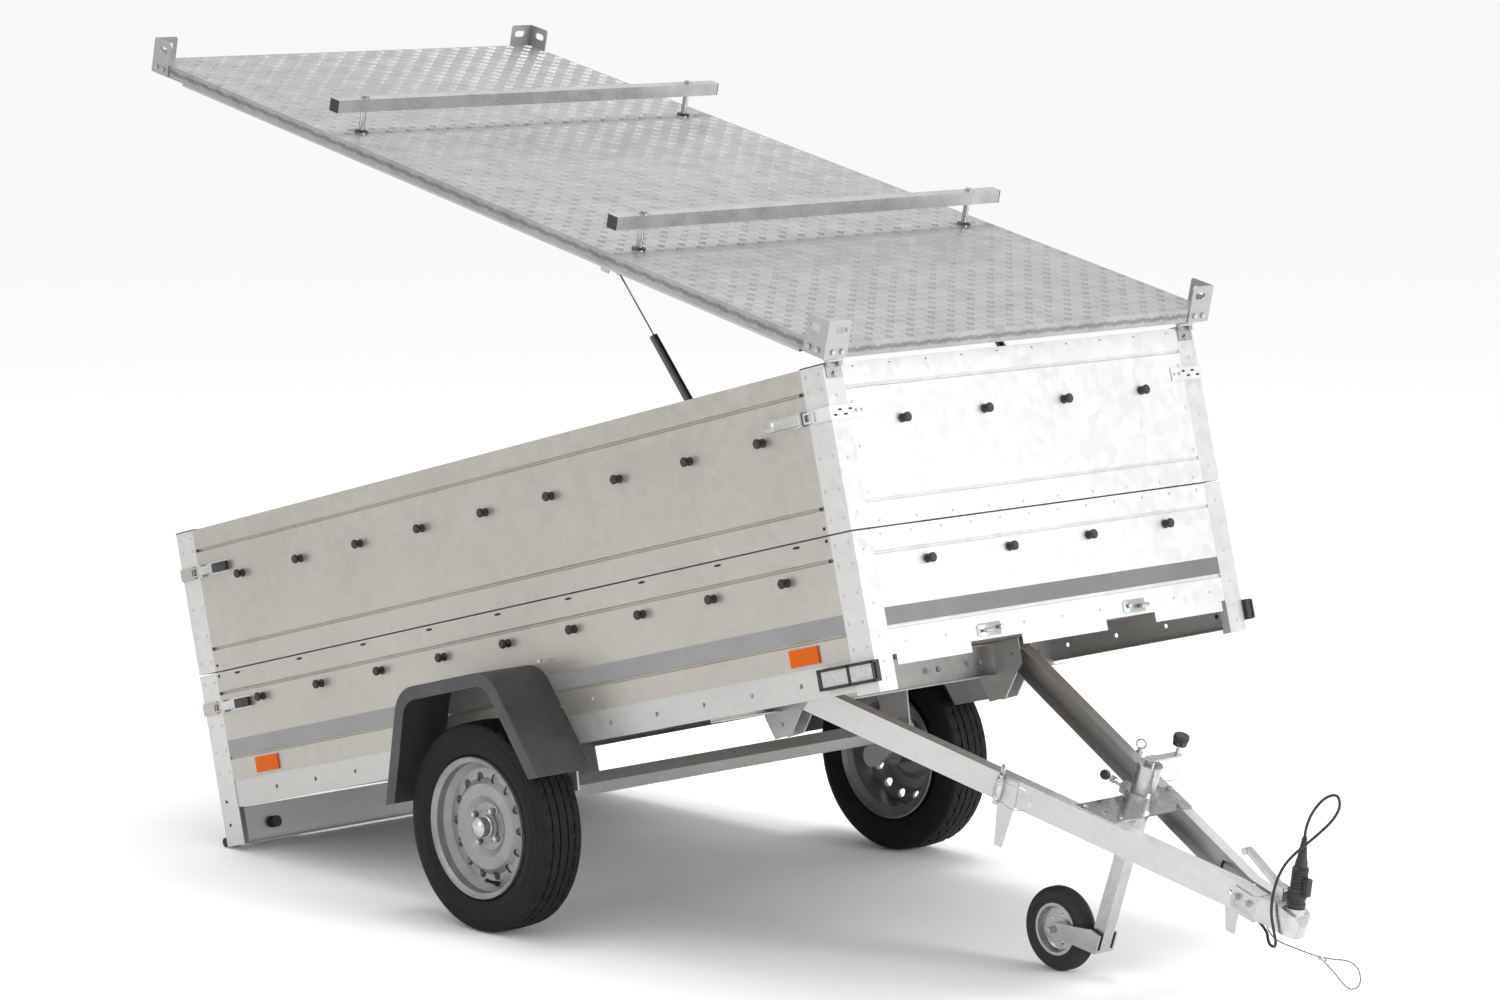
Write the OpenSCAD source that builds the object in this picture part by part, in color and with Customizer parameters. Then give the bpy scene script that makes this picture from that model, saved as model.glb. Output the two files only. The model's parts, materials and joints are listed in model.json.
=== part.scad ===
// Tilting two-tier box trailer with an opening lid, roof bars and a folding A-frame drawbar.
// Row frame: +Z up, ground at z = 0, drawbar towards -Y, plane of symmetry x = 0.
// The trailer stands tipped back on its rear buffers with its lid open.
// "Right" is the kerb side, at -X. "Box frame" is the frame of the box before it is tipped:
// y runs from the front wall to the rear wall and z starts at the underside of the side rails.

/* [Box] */
// Width over the side walls
box_w = 1304; // [1240:4:1400]
// Length over the front and rear walls
box_l = 2700; // [2560:10:3100]
// Height of the seam between the two tiers of wall, above the rails' underside
seam_z = 377; // [360:1:440]
// Height of the upper tier of wall
upper_h = 400; // [340:5:520]
// Thickness of the wall sheet
wall_t = 1.5; // [1:0.1:2]
// Depth of the folded hems at the walls' edges
hem = 25; // [18:1:30]
// Height of the side rails
rail_h = 75; // [68:1:90]
// Width of a corner post seen from the side
post_side = 80; // [70:1:95]
// Width of a corner post seen from the front
post_front = 60; // [56:1:66]
// Thickness of the post sheet
post_t = 2; // [1.5:0.1:2.5]
// Drop of the rear posts' feet below the rails
rear_foot = 103; // [90:1:115]
// Thickness of the plywood floor
floor_t = 12; // [9:1:15]
// Depth of the pressed grooves in the walls
groove_d = 4; // [2:0.5:5]
// Number of rope hooks along one side
side_hooks = 9; // [6:1:10]
// Number of rope hooks across the front or the rear
end_hooks = 4; // [3:1:5]

/* [Running gear] */
// Rearward tip of the box, degrees
tilt = 14.73; // [14:0.01:15.5]
// Distance of the axle behind the front wall
axle_y = 1410; // [1380:1:1450]
// Depth of the wheel centres below the rails' underside
axle_drop = 165; // [155:1:175]
// Radius of the tyre
tyre_r = 271; // [265:1:275]
// Width of the tyre
tyre_w = 138; // [125:1:140]
// Gap between the tyre and the side wall
wheel_gap = 12; // [8:1:20]
// Radius of the rim's flange
rim_r = 182.5; // [175:0.5:190]
// Number of holes round the wheel disc
rim_holes = 14; // [8:1:16]
// Side of the square torsion tube
axle_sq = 40; // [36:1:50]
// Overall width of a mudguard
guard_w = 178; // [170:1:190]

/* [Lid] */
// Opening angle of the lid, degrees
lid_open = 27.1; // [25:0.1:28]
// Depth of the lid's folded rim
lid_rim = 35; // [30:1:45]
// Overhang of the lid past each side wall
lid_over = 23; // [16:1:30]
// Thickness of the lid sheet
lid_t = 2; // [1.5:0.1:3]
// Side of the square roof bars
bar_sq = 34; // [25:1:40]
// Height of the roof bars above the lid
bar_gap = 61; // [40:1:80]
// Distance of the front roof bar from the lid's front edge
bar_front = 800; // [700:5:900]
// Distance of the rear roof bar from the lid's front edge
bar_rear = 1940; // [1800:5:2100]

/* [Drawbar] */
// Drop of the drawbar below the box floor, degrees
db_drop = 33.6; // [33:0.1:34.2]
// Height of the drawbar arms
arm_h = 70; // [60:1:74]
// Flange width of the drawbar arms
arm_f = 35; // [30:1:36]
// Thickness of the drawbar arms
arm_t = 3; // [2.5:0.1:4]
// Reach of the arms from their pivot to their front ends
arm_l = 1265; // [1230:5:1300]
// Distance of the jockey leg from the arms' pivot
jockey_s = 814; // [790:1:830]
// Radius of the jockey wheel
jockey_r = 105; // [100:1:110]
// Radius of the coupling's ball socket
ball_r = 25.25; // [25.1:0.05:25.4]

/* [Fits] */
// Radial running clearance of pins and shafts
fit = 0.05; // [0.02:0.01:0.08]
// Clearance beside panels and levers that swing
side_gap = 0.4; // [0.3:0.1:1]

/* [Hidden] */
$fn = 64;

// colours
galv = [0.72, 0.72, 0.70];
bright = [0.90, 0.92, 0.93];
plastic = [0.08, 0.08, 0.08];
rubber = [0.06, 0.06, 0.06];
charcoal = [0.28, 0.28, 0.29];
orange = [0.84, 0.38, 0.0];
wood = [0.35, 0.24, 0.16];

// box frame values
hw = box_w/2;
top_z = seam_z + upper_h;
post_x = hw - post_front;
panel_x = post_x - side_gap;
floor_z = rail_h;
wall_foot = rail_h;
seam_gap = 2;
groove_low = 60;
groove_high = 59;
groove_up = 65;
stripe_z = 137;
rail_t = 2.5;
rail_w = 38;
pin_r = 4;
pin_in = 7;
flap_pin_z = seam_z + 8;
gate_pin_z = 10;
gate_foot = 4;
hook_first = 253;
hook_last = 280;
hook_pitch = (box_l - hook_first - hook_last)/(side_hooks - 1);
end_hook_in = 230;
end_pitch = (box_w - 2*end_hook_in)/(end_hooks - 1);
hook_up_z = top_z - 148;
hook_low_z = seam_z - 90;

// ground contact, worked out so that tyres, buffers and jockey wheel all stand on z = 0
row_y = 274.1;
buffer_r = 13;
buffer_y = box_l + buffer_r;
buffer_z = (buffer_r - tyre_r + (buffer_y - axle_y)*sin(tilt))/cos(tilt) - axle_drop;
wheel_x = hw + wheel_gap + tyre_w/2;

// lid values: the hinge pin lies in front of the front wall, just above its top
pin_y = -8;
pin_z = top_z + 9;
lid_pin_u = 22.7;
lid_pin_w = -10.5;
lid_w = box_w + 2*lid_over;
lid_l = box_l + 50;
lid_hinge_x = hw - 32;
barrel_r = 8;
bar_post_x = hw - 77;
frame_h = 17;
frame_w = 40;
strut_x = hw - 77;
strut_a = [762, top_z + 381];
strut_len = 520;
strut_dir = 63.34;
strut_b = [strut_a[0] - strut_len*cos(strut_dir), strut_a[1] - strut_len*sin(strut_dir)];
strut_r = 11;
rod_r = 4;
rod_out = 220;

// drawbar values, in a frame at the pivot with s forward and h upward
pivot_y = 560;
pivot_z = 32;
root_x = hw - 251;
nose_x = 42;
lean = db_drop - tilt;
pivot_h0 = (axle_y - pivot_y)*sin(tilt) + (pivot_z + axle_drop)*cos(tilt) + tyre_r;
jockey_ws = jockey_s - 131;
jockey_wh = (jockey_r - pivot_h0 + jockey_ws*sin(lean))/cos(lean);
arm_path = [[root_x, -20], [root_x, 30], [nose_x, arm_l - 75], [nose_x, arm_l]];
arm_slope = (root_x - nose_x)/(arm_l - 105);
lock_s = 578;
lock_x = root_x - (lock_s - 30)*arm_slope;
socket_s = arm_l + 84;
head_r = 34;
tube_r = 30;
leg_sq = 36;

// latch slabs, measured outward from the side wall's face
strap_in = 3;
strap_t = 1.5;
latch_z_up = top_z - 117;
latch_z_low = seam_z - 96;

// cord routes in millimetres: [x, s, h] in the drawbar's own frame, chosen by hand
lead_pts = [[0, 1312, 210], [0, 1308, 236], [1, 1311, 272], [3, 1325, 312], [4, 1345, 338],
    [4, 1366, 347], [0, 1382, 328], [-8, 1380, 296], [-18, 1366, 260], [-28, 1348, 224],
    [-38, 1328, 186], [-46, 1312, 145], [-50, 1306, 102], [-51, 1308, 60], [-51, 1318, 20],
    [-49, 1334, -12], [-45, 1347, -38], [-41, 1346, -55], [-35, 1328, -61], [-22, 1308, -59],
    [-8, 1288, -53], [1, 1250, -46], [2, 1208, -44], [4, 1166, -42], [9, 1132, -32],
    [22, 1104, -22], [42, 1078, -14], [62, 1058, -10], [86.5, 1040, -10]];
wire_pts = [[-20, 1290, -21], [-21, 1296, -34], [-29, 1322, -41], [-33, 1352, -41], [-22, 1398, -37],
    [-7, 1444, -33], [0, 1488, -19], [5, 1515, -8], [7, 1538, -4], [8, 1560, -12], [6, 1573, -30],
    [2, 1574, -46], [-2, 1562, -58], [-5, 1545, -58], [-6, 1520, -50], [-5, 1490, -41], [-4, 1460, -36]];
lead_r = 3.5;
wire_r = 1.6;

// ---------- frames and helpers ----------

module in_box() {
    translate([0, row_y, tyre_r]) rotate([-tilt, 0, 0]) translate([0, -axle_y, axle_drop]) children();
}

module in_lid() {
    in_box() translate([0, pin_y, pin_z]) rotate([lid_open, 0, 0])
        translate([0, -lid_pin_u, -lid_pin_w]) children();
}

module in_drawbar() {
    in_box() translate([0, pivot_y, pivot_z]) rotate([db_drop, 0, 0]) children();
}

module both() {
    children();
    mirror([1, 0, 0]) children();
}

// a plate drawn in the y-z plane and thickened along +x from x0
module yz_plate(x0, t, pts) {
    translate([x0, 0, 0]) rotate([90, 0, 90]) linear_extrude(t) polygon(pts);
}

// the same for points given as [s, h] in the drawbar's frame, where y = -s
module sh_plate(x0, t, pts) {
    yz_plate(x0, t, [for (p = pts) [-p[0], p[1]]]);
}

module x_cyl(x0, x1, y, z, r) {
    translate([x0, y, z]) rotate([0, 90, 0]) cylinder(r = r, h = x1 - x0);
}

module y_cyl(x, y0, y1, z, r) {
    translate([x, y0, z]) rotate([-90, 0, 0]) cylinder(r = r, h = y1 - y0);
}

// section of a pressed wall sheet: depth inward, height up, with V grooves and folded hems
function groove_out(g) = [[0, g - 5], [groove_d, g - 1], [groove_d, g + 1], [0, g + 5]];
function groove_in(g) = [[wall_t, g + 5], [groove_d + wall_t, g + 1], [groove_d + wall_t, g - 1],
    [wall_t, g - 5]];

module sheet_section(z0, z1, grooves, foot_hem) {
    outer = [for (g = grooves, p = groove_out(g)) p];
    inner = [for (i = [len(grooves) - 1:-1:0], p = groove_in(grooves[i])) p];
    foot = foot_hem ? [[wall_t, z0 + wall_t], [hem, z0 + wall_t], [hem, z0]] : [[wall_t, z0]];
    polygon(concat([[0, z0]], outer, [[0, z1], [hem, z1], [hem, z1 - wall_t], [wall_t, z1 - wall_t]],
        inner, foot));
}

module side_sheet(z0, z1, grooves, foot_hem) {
    translate([-hw, box_l - post_side, 0]) rotate([90, 0, 0]) linear_extrude(box_l - 2*post_side)
        sheet_section(z0, z1, grooves, foot_hem);
}

module end_sheet(z0, z1, grooves, foot_hem) {
    translate([-panel_x, 0, 0]) rotate([90, 0, 90]) linear_extrude(2*panel_x)
        sheet_section(z0, z1, grooves, foot_hem);
}

// a rope hook: a spool on a round base, standing on z = 0
module rope_hook() {
    rotate_extrude($fn = 40) polygon([[0, 0], [11, 0], [11, 4], [6.5, 8], [6.5, 14], [12, 17],
        [12, 22], [9, 25], [0, 25]]);
}

module end_hook_row(z) {
    for (k = [0:end_hooks - 1]) translate([-hw + end_hook_in + k*end_pitch, 0, z])
        rotate([90, 0, 0]) rope_hook();
}

// ---------- box ----------

module side_rails() color(galv) in_box() both() {
    difference() {
        translate([-hw + post_t, 4, 0]) cube([rail_w, box_l - 84, rail_h]);
        translate([-hw + post_t + rail_t, 0, rail_t]) cube([rail_w, box_l, rail_h - 2*rail_t]);
        for (y = [90:180:box_l - 150]) x_cyl(-hw, -hw + 10, y, rail_h/2, 6);
    }
}

module c_beam(x1, y0, depth, z0, z1, t) {
    difference() {
        translate([-x1, y0, z0]) cube([2*x1, depth, z1 - z0]);
        translate([-x1 - 1, y0 - 1, z0 + t]) cube([2*x1 + 2, depth - t + 1, z1 - z0 - 2*t]);
    }
}

module cross_members() color(galv) in_box() {
    rail_in = hw - post_t - rail_w;
    c_beam(rail_in, pivot_y + 60, 40, -10, rail_h - 2, 3);
    for (y = [axle_y - 280, axle_y + 320, axle_y + 800]) c_beam(rail_in, y, 40, 13, rail_h, 2.5);
    difference() {
        c_beam(post_x, box_l - 42, 42, -rear_foot, -1, 2.5);
        for (sx = [-1, 1]) y_cyl(sx*(hw - 160), box_l - 50, box_l + 10, -55, 16.5);
    }
}

module floor_board() color(wood) in_box()
    translate([-hw + 4, 30, floor_z]) cube([box_w - 8, box_l - 60, floor_t]);

module side_walls() color(galv) in_box() both() {
    side_sheet(wall_foot, seam_z - seam_gap, [stripe_z, seam_z - groove_low], false);
    side_sheet(seam_z + seam_gap, top_z, [seam_z + groove_up, top_z - groove_high], true);
}

module front_wall() color(bright) in_box() {
    end_sheet(wall_foot, seam_z - seam_gap, [stripe_z, seam_z - groove_low], false);
    // folded foot and the short tabs under it
    translate([-panel_x, 0, wall_foot - wall_t]) cube([2*panel_x, hem, wall_t]);
    for (x = [-hw + 75, -150, hw - 325]) translate([x, 0, wall_foot - 28])
        cube([x == -150 ? 300 : 250, wall_t, 28]);
    // catches for the drawbar's locks
    both() translate([-hw + 352, -4, wall_foot + 8]) cube([84, 4, 26]);
}

module post(z0, z1, y_hole, z_hole) {
    difference() {
        translate([0, 0, z0]) linear_extrude(z1 - z0) polygon([[-hw, 0], [-post_x, 0], [-post_x, hem],
            [-post_x - post_t, hem], [-post_x - post_t, post_t], [-hw + post_t, post_t],
            [-hw + post_t, post_side], [-hw, post_side]]);
        x_cyl(-post_x - 10, -post_x + 10, y_hole, z_hole, pin_r + fit);
    }
}

module corner_posts() color(bright) in_box() both() {
    post(-10, seam_z - seam_gap, pin_in, -50);
    post(seam_z + seam_gap, top_z, pin_in, flap_pin_z);
    translate([0, box_l, 0]) mirror([0, 1, 0]) {
        post(-rear_foot, seam_z - seam_gap, pin_in, gate_pin_z);
        post(seam_z + seam_gap, top_z, pin_in, flap_pin_z);
    }
}

module post_cap() {
    translate([-hw - 0.5, -0.5, top_z]) cube([post_front + 0.5, post_side + 0.5, 3]);
    translate([-hw + post_t + 0.3, post_t + 0.3, top_z - 12])
        cube([post_front - 2*post_t - 0.6, hem - 2*post_t, 12]);
}

module post_caps() color(plastic) in_box() both() {
    post_cap();
    translate([0, box_l, 0]) mirror([0, 1, 0]) post_cap();
}

module wall_hooks() color(plastic) in_box() {
    both() for (k = [0:side_hooks - 1], z = [hook_low_z, hook_up_z])
        translate([-hw, hook_first + k*hook_pitch, z]) rotate([0, -90, 0]) rope_hook();
    end_hook_row(hook_low_z);
}

module side_reflectors() color(orange) in_box() both()
    for (y = [185, box_l - 302]) translate([-hw - 5, y, 84]) cube([5, 102, 42]);

module front_lamp() {
    translate([-hw - 20, -14, 16]) cube([20, 200, 52]);
}

module rear_lamp() {
    translate([-hw + 75, box_l, -84]) cube([185, 34, 62]);
    y_cyl(-hw + 160, box_l - 28, box_l, -55, 16);
}

module lamp_housings() color(plastic) in_box() both() {
    difference() {
        front_lamp();
        translate([-hw - 21, 78, 22]) cube([8, 92, 40]);
        translate([-hw - 21, -15, 22]) cube([8, 85, 40]);
    }
    difference() {
        rear_lamp();
        translate([-hw + 80, box_l + 26, -79]) cube([175, 9, 52]);
    }
}

module lamp_lenses() color([0.95, 0.95, 0.93]) in_box() both() {
    translate([-hw - 22, 78, 22]) cube([9, 92, 40]);
    translate([-hw - 22, -8, 22]) cube([9, 78, 40]);
    translate([-hw + 80, box_l + 26, -79]) cube([175, 12, 52]);
}

module rear_buffers() color(rubber) in_box() both() {
    x_cyl(-hw + 4, -hw + 48, buffer_y, buffer_z, buffer_r);
    translate([-hw + 8, box_l, buffer_z - 8]) cube([36, buffer_r, 16]);
}

module axle_tube() color(galv) in_box() {
    tube_y = axle_y - 140;
    tube_z = -104;
    difference() {
        translate([-hw + 50, tube_y, tube_z]) rotate([45, 0, 0])
            translate([0, -axle_sq/2, -axle_sq/2]) cube([box_w - 100, axle_sq, axle_sq]);
        both() x_cyl(-hw, -hw + 110, tube_y, tube_z, 14 + fit);
    }
    both() difference() {
        yz_plate(-hw + 54, 5, [[tube_y - 60, 0], [tube_y + 60, 0], [tube_y + 45, tube_z - 12],
            [tube_y - 45, tube_z - 12]]);
        x_cyl(-hw + 40, -hw + 110, tube_y, tube_z, 14 + fit);
    }
    both() translate([-hw + 14, tube_y - 60, -4]) cube([45, 120, 4]);
}

// mudguard outline at an inward offset o: leaning legs, round shoulders and a flat crown
function guard_line(o) = let(r = 90, cx = 130, cz = 132, lean_a = 24)
    concat([[cx + (r - o)/cos(lean_a) + (cz + 67)*tan(lean_a), -67]],
        [for (i = [0:8]) let(a = lean_a + i*(90 - lean_a)/8) [cx + (r - o)*cos(a), cz + (r - o)*sin(a)]]);
function guard_loop(o) = let(p = guard_line(o))
    concat(p, [for (i = [len(p) - 1:-1:0]) [-p[i][0], p[i][1]]]);

module guard_ring(x0, t, o0, o1) {
    translate([0, axle_y, 0]) difference() {
        yz_plate(x0, t, guard_loop(o0));
        translate([0, 0, -1]) yz_plate(x0 - 1, t + 2, guard_loop(o1));
    }
}

module mudguards() color(charcoal) in_box() both() {
    guard_ring(-hw - guard_w, guard_w, 0, 4);
    guard_ring(-hw - guard_w, 4, 2, 34);
}

module pivot_brackets() color(galv) in_box() both() {
    outline = [[pivot_y - 36, rail_h], [pivot_y - 36, 8], [pivot_y - 14, -10], [pivot_y + 45, -72],
        [pivot_y + 105, -76], [pivot_y + 128, -20], [pivot_y + 136, rail_h]];
    difference() {
        union() {
            yz_plate(-root_x - 5, 4, outline);
            yz_plate(-root_x + arm_f + 2.5, 4, outline);
        }
        // the pivot beam passes through both plates
        translate([-hw, pivot_y + 60 - 0.2, -10.2]) cube([box_w, 40.4, rail_h + 12]);
    }
    x_cyl(-root_x - 12, -root_x + arm_f + 12, pivot_y, pivot_z, 8);
    x_cyl(-root_x - 19, -root_x - 12, pivot_y, pivot_z, 14);
    x_cyl(-root_x - 9, -root_x + arm_f + 9, pivot_y + 72, -45, 6);
}

// box half of a lid hinge, on the front face of the right-hand front post
module hinge_leaf() {
    translate([-lid_hinge_x - 25, -3, top_z - 34]) cube([50, 3, 33]);
    for (x = [-lid_hinge_x - 25, -lid_hinge_x + 12]) {
        translate([x, -11, top_z - 8]) cube([13, 9.8, 18]);
        x_cyl(x, x + 13, pin_y, pin_z, barrel_r);
    }
    x_cyl(-lid_hinge_x - 25, -lid_hinge_x + 25, pin_y, pin_z, pin_r);
}

module latch_base(y, z) {
    difference() {
        union() {
            translate([-hw - 1.5, y, z - 17]) cube([1.5, 130, 34]);
            for (zz = [z - 17, z + 12]) translate([-hw - 12, y, zz]) cube([12, 16, 5]);
        }
    }
    translate([-hw - 8, y + 8, z - 17]) cylinder(r = 3, h = 34);
}

module box_fittings() color(galv) in_box() both() {
    hinge_leaf();
    latch_base(92, latch_z_up);
    translate([0, box_l, 0]) mirror([0, 1, 0]) {
        latch_base(92, latch_z_up);
        latch_base(92, latch_z_low);
    }
    // strut foot on the inside of the side wall
    translate([-hw + wall_t, strut_b[0] - 25, strut_b[1] - 30])
        cube([3, 50, top_z - groove_high - 12 - (strut_b[1] - 30)]);
    x_cyl(-hw + wall_t, -strut_x - 8, strut_b[0], strut_b[1], 10);
    x_cyl(-strut_x - 9, -strut_x + 14, strut_b[0], strut_b[1], 5);
}

// ---------- lid ----------

module lid_skin() color(bright) in_lid() difference() {
    translate([-lid_w/2, 0, 0]) cube([lid_w, lid_l, lid_rim]);
    translate([-lid_w/2 + lid_t, lid_t, -1]) cube([lid_w - 2*lid_t, lid_l - 2*lid_t, lid_rim - lid_t + 1]);
}

// square tube of the lid's frame: size along x and y, open at both ends of its long side
module frame_tube(size, along_x) difference() {
    cube([size[0], size[1], frame_h + lid_rim - lid_t]);
    translate(along_x ? [-1, lid_t, lid_t] : [lid_t, -1, lid_t])
        cube([size[0] + (along_x ? 2 : -2*lid_t), size[1] + (along_x ? -2*lid_t : 2),
            frame_h + lid_rim - 3*lid_t]);
}

module lid_frame() color(galv) in_lid() {
    x1 = hw - 4;
    u0 = 114;
    u1 = lid_l - 104;
    both() translate([-x1, u0, -frame_h]) frame_tube([frame_w, u1 - u0], false);
    for (u = [u0, u1 - frame_w, bar_front - frame_w/2, bar_rear - frame_w/2])
        translate([-x1 + frame_w, u, -frame_h]) frame_tube([2*(x1 - frame_w), frame_w], true);
}

module ear_slot() {
    for (u = [-9, 9]) translate([0, u, 0]) rotate([0, 90, 0]) cylinder(r = 9, h = 20, center = true);
    translate([-10, -9, -9]) cube([20, 18, 18]);
}

module lid_ear() {
    ear_w = 75;
    ear_h = 95;
    difference() {
        union() {
            translate([-lid_w/2 - 3, -3, 0]) cube([3, ear_w, ear_h]);
            translate([-lid_w/2 - 3, -3, 0]) cube([ear_w, 3, ear_h]);
        }
        translate([-lid_w/2, ear_w/2 + 4, ear_h - 26]) ear_slot();
        translate([-lid_w/2 + ear_w/2 + 4, 0, ear_h - 26]) rotate([0, 0, 90]) ear_slot();
        // slanted outer corners
        translate([-lid_w/2 - 4, ear_w + 6, ear_h - 14]) rotate([45, 0, 0]) cube([6, 40, 40]);
        translate([-lid_w/2 + ear_w + 6, -4, ear_h - 14]) rotate([0, -45, 0]) cube([40, 6, 40]);
    }
}

module lid_ears() color(galv) in_lid() both() {
    lid_ear();
    translate([0, lid_l, 0]) mirror([0, 1, 0]) lid_ear();
}

module lid_hinges() color(galv) in_lid() both() {
    bw = 24 - 2*side_gap;
    x0 = -lid_hinge_x - bw/2;
    difference() {
        union() {
            translate([x0, 0, -3]) cube([bw, 114, 3]);
            translate([x0, lid_pin_u - 5, lid_pin_w]) cube([bw, 10, -lid_pin_w - 1]);
            x_cyl(x0, x0 + bw, lid_pin_u, lid_pin_w, barrel_r);
        }
        x_cyl(x0 - 1, x0 + bw + 1, lid_pin_u, lid_pin_w, pin_r + fit);
    }
    // strut eye bracket: a plate on the frame's inner side with a short stud
    stud_u = (strut_a[0] - pin_y)*cos(lid_open) + (strut_a[1] - pin_z)*sin(lid_open) + lid_pin_u;
    stud_w = -(strut_a[0] - pin_y)*sin(lid_open) + (strut_a[1] - pin_z)*cos(lid_open) + lid_pin_w;
    yz_plate(-hw + 4 + frame_w, 3, [[stud_u - 24, 0], [stud_u + 24, 0], [stud_u + 14, stud_w - 12],
        [stud_u - 14, stud_w - 12]]);
    x_cyl(-hw + 6 + frame_w, -strut_x - 8 - side_gap, stud_u, stud_w, 8);
}

module roof_bars() color(bright) in_lid() for (u = [bar_front, bar_rear])
    translate([0, u, lid_rim + bar_gap + bar_sq/2]) difference() {
        cube([lid_w, bar_sq, bar_sq], center = true);
        cube([lid_w + 2, bar_sq - 4, bar_sq - 4], center = true);
    }

module bar_caps() color(plastic) in_lid() both() for (u = [bar_front, bar_rear])
    translate([-lid_w/2 - 3, u, lid_rim + bar_gap + bar_sq/2]) {
        translate([0, -bar_sq/2, -bar_sq/2]) cube([3, bar_sq, bar_sq]);
        translate([3, -bar_sq/2 + 2, -bar_sq/2 + 2]) cube([14, bar_sq - 4, bar_sq - 4]);
    }

module bar_posts() color(galv) in_lid() both() for (u = [bar_front, bar_rear])
    translate([-bar_post_x, u, lid_rim]) {
        cylinder(r = 16, h = 3);
        cylinder(r = 8, h = bar_gap);
        translate([0, 0, bar_gap - 2]) cylinder(r = 13, h = 2);
        translate([0, 0, bar_gap + bar_sq]) cylinder(r = 10, h = 7, $fn = 6);
        translate([0, 0, bar_gap + bar_sq]) cylinder(r = 13, h = 2);
    }

// ---------- gas struts ----------

module on_strut(side) {
    in_box() translate([side*strut_x, strut_b[0], strut_b[1]]) rotate([strut_dir - 90, 0, 0]) children();
}

module strut_cylinder(side) color(plastic) on_strut(side) {
    difference() {
        union() {
            x_cyl(-7, 7, 0, 0, 9);
            translate([0, 0, 4]) cylinder(r = 6, h = 20);
            translate([0, 0, 18]) cylinder(r = strut_r, h = strut_len - rod_out - 18);
        }
        x_cyl(-9, 9, 0, 0, 5 + fit);
        translate([0, 0, 50]) cylinder(r = rod_r + fit, h = strut_len);
    }
}

module strut_rod(side) color(bright) on_strut(side) {
    translate([0, 0, 64 + strut_len - rod_out - 110]) cylinder(r = rod_r, h = rod_out + 110 - 64 - 6);
    x_cyl(-7, 7, 0, strut_len, 9);
    translate([0, 0, strut_len - 22]) cylinder(r = 6, h = 18);
}

module strut_cylinder_right() strut_cylinder(-1);
module strut_cylinder_left() strut_cylinder(1);
module strut_rod_right() strut_rod(-1);
module strut_rod_left() strut_rod(1);

// ---------- panels that fold down ----------

module hinge_pins(z) both() x_cyl(-post_x - 12, -panel_x + 1, pin_in, z, pin_r);

// folded ends that carry the hinge pins
module panel_ends(z0, z1) both() translate([-panel_x, 0, z0]) cube([2, hem, z1 - z0]);

module strap(z) {
    // front plate on the panel, and the leg that wraps round to the side
    translate([-hw - strap_in - strap_t, -3, z - 17]) cube([post_front + strap_in + 50, 2, 34]);
    translate([-hw - strap_in - strap_t, -3, z - 17]) cube([strap_t, 66, 34]);
    translate([-panel_x + 6, -1.2, z - 12]) cube([34, 1.2, 24]);
    // wire bail that the lever pulls
    translate([-hw - strap_in - 5, 52, z - 13]) cube([3.6, 38, 4]);
    translate([-hw - strap_in - 5, 52, z + 9]) cube([3.6, 38, 4]);
    translate([-hw - strap_in - 5, 52, z - 13]) cube([3.6, 4, 26]);
    translate([-hw - strap_in - 5, 86, z - 13]) cube([3.6, 4, 26]);
}

module front_flap() color(bright) in_box() {
    end_sheet(seam_z + seam_gap, top_z, [seam_z + groove_up, top_z - groove_high], true);
    panel_ends(seam_z + seam_gap, top_z);
    hinge_pins(flap_pin_z);
    both() strap(latch_z_up);
}

module front_flap_hooks() color(plastic) in_box() end_hook_row(hook_up_z);

module at_rear() in_box() translate([0, box_l, 0]) mirror([0, 1, 0]) children();

module tailgate_lower() color(bright) at_rear() {
    end_sheet(gate_foot, seam_z - seam_gap, [stripe_z, seam_z - groove_low], true);
    panel_ends(gate_foot, seam_z - seam_gap);
    hinge_pins(gate_pin_z);
    both() strap(latch_z_low);
}

module tailgate_lower_hooks() color(plastic) at_rear() end_hook_row(hook_low_z);

module tailgate_upper() color(bright) at_rear() {
    end_sheet(seam_z + seam_gap, top_z, [seam_z + groove_up, top_z - groove_high], true);
    panel_ends(seam_z + seam_gap, top_z);
    hinge_pins(flap_pin_z);
    both() strap(latch_z_up);
}

module tailgate_upper_hooks() color(plastic) at_rear() end_hook_row(hook_up_z);

// latch lever on the right-hand side, pivot at y0 + 8, grip towards the middle of the wall
module lever(y0, z) {
    px = -hw - 8;
    difference() {
        union() {
            translate([px, y0 + 8, z - 12 + side_gap]) cylinder(r = 6, h = 24 - 2*side_gap);
            translate([px - 6, y0 + 8, z - 12 + side_gap]) cube([4, 122, 24 - 2*side_gap]);
            translate([px - 6, y0 + 30, z - 12 + side_gap]) cube([9, 100, 2]);
            translate([px - 6, y0 + 30, z + 10 - side_gap]) cube([9, 100, 2]);
        }
        translate([px, y0 + 8, z - 20]) cylinder(r = 3 + fit, h = 40);
    }
}

module latch_front_right() color(galv) in_box() lever(92, latch_z_up);
module latch_front_left() color(galv) in_box() mirror([1, 0, 0]) lever(92, latch_z_up);
module latch_upper_right() color(galv) at_rear() lever(92, latch_z_up);
module latch_upper_left() color(galv) at_rear() mirror([1, 0, 0]) lever(92, latch_z_up);
module latch_lower_right() color(galv) at_rear() lever(92, latch_z_low);
module latch_lower_left() color(galv) at_rear() mirror([1, 0, 0]) lever(92, latch_z_low);

// ---------- running gear ----------

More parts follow.
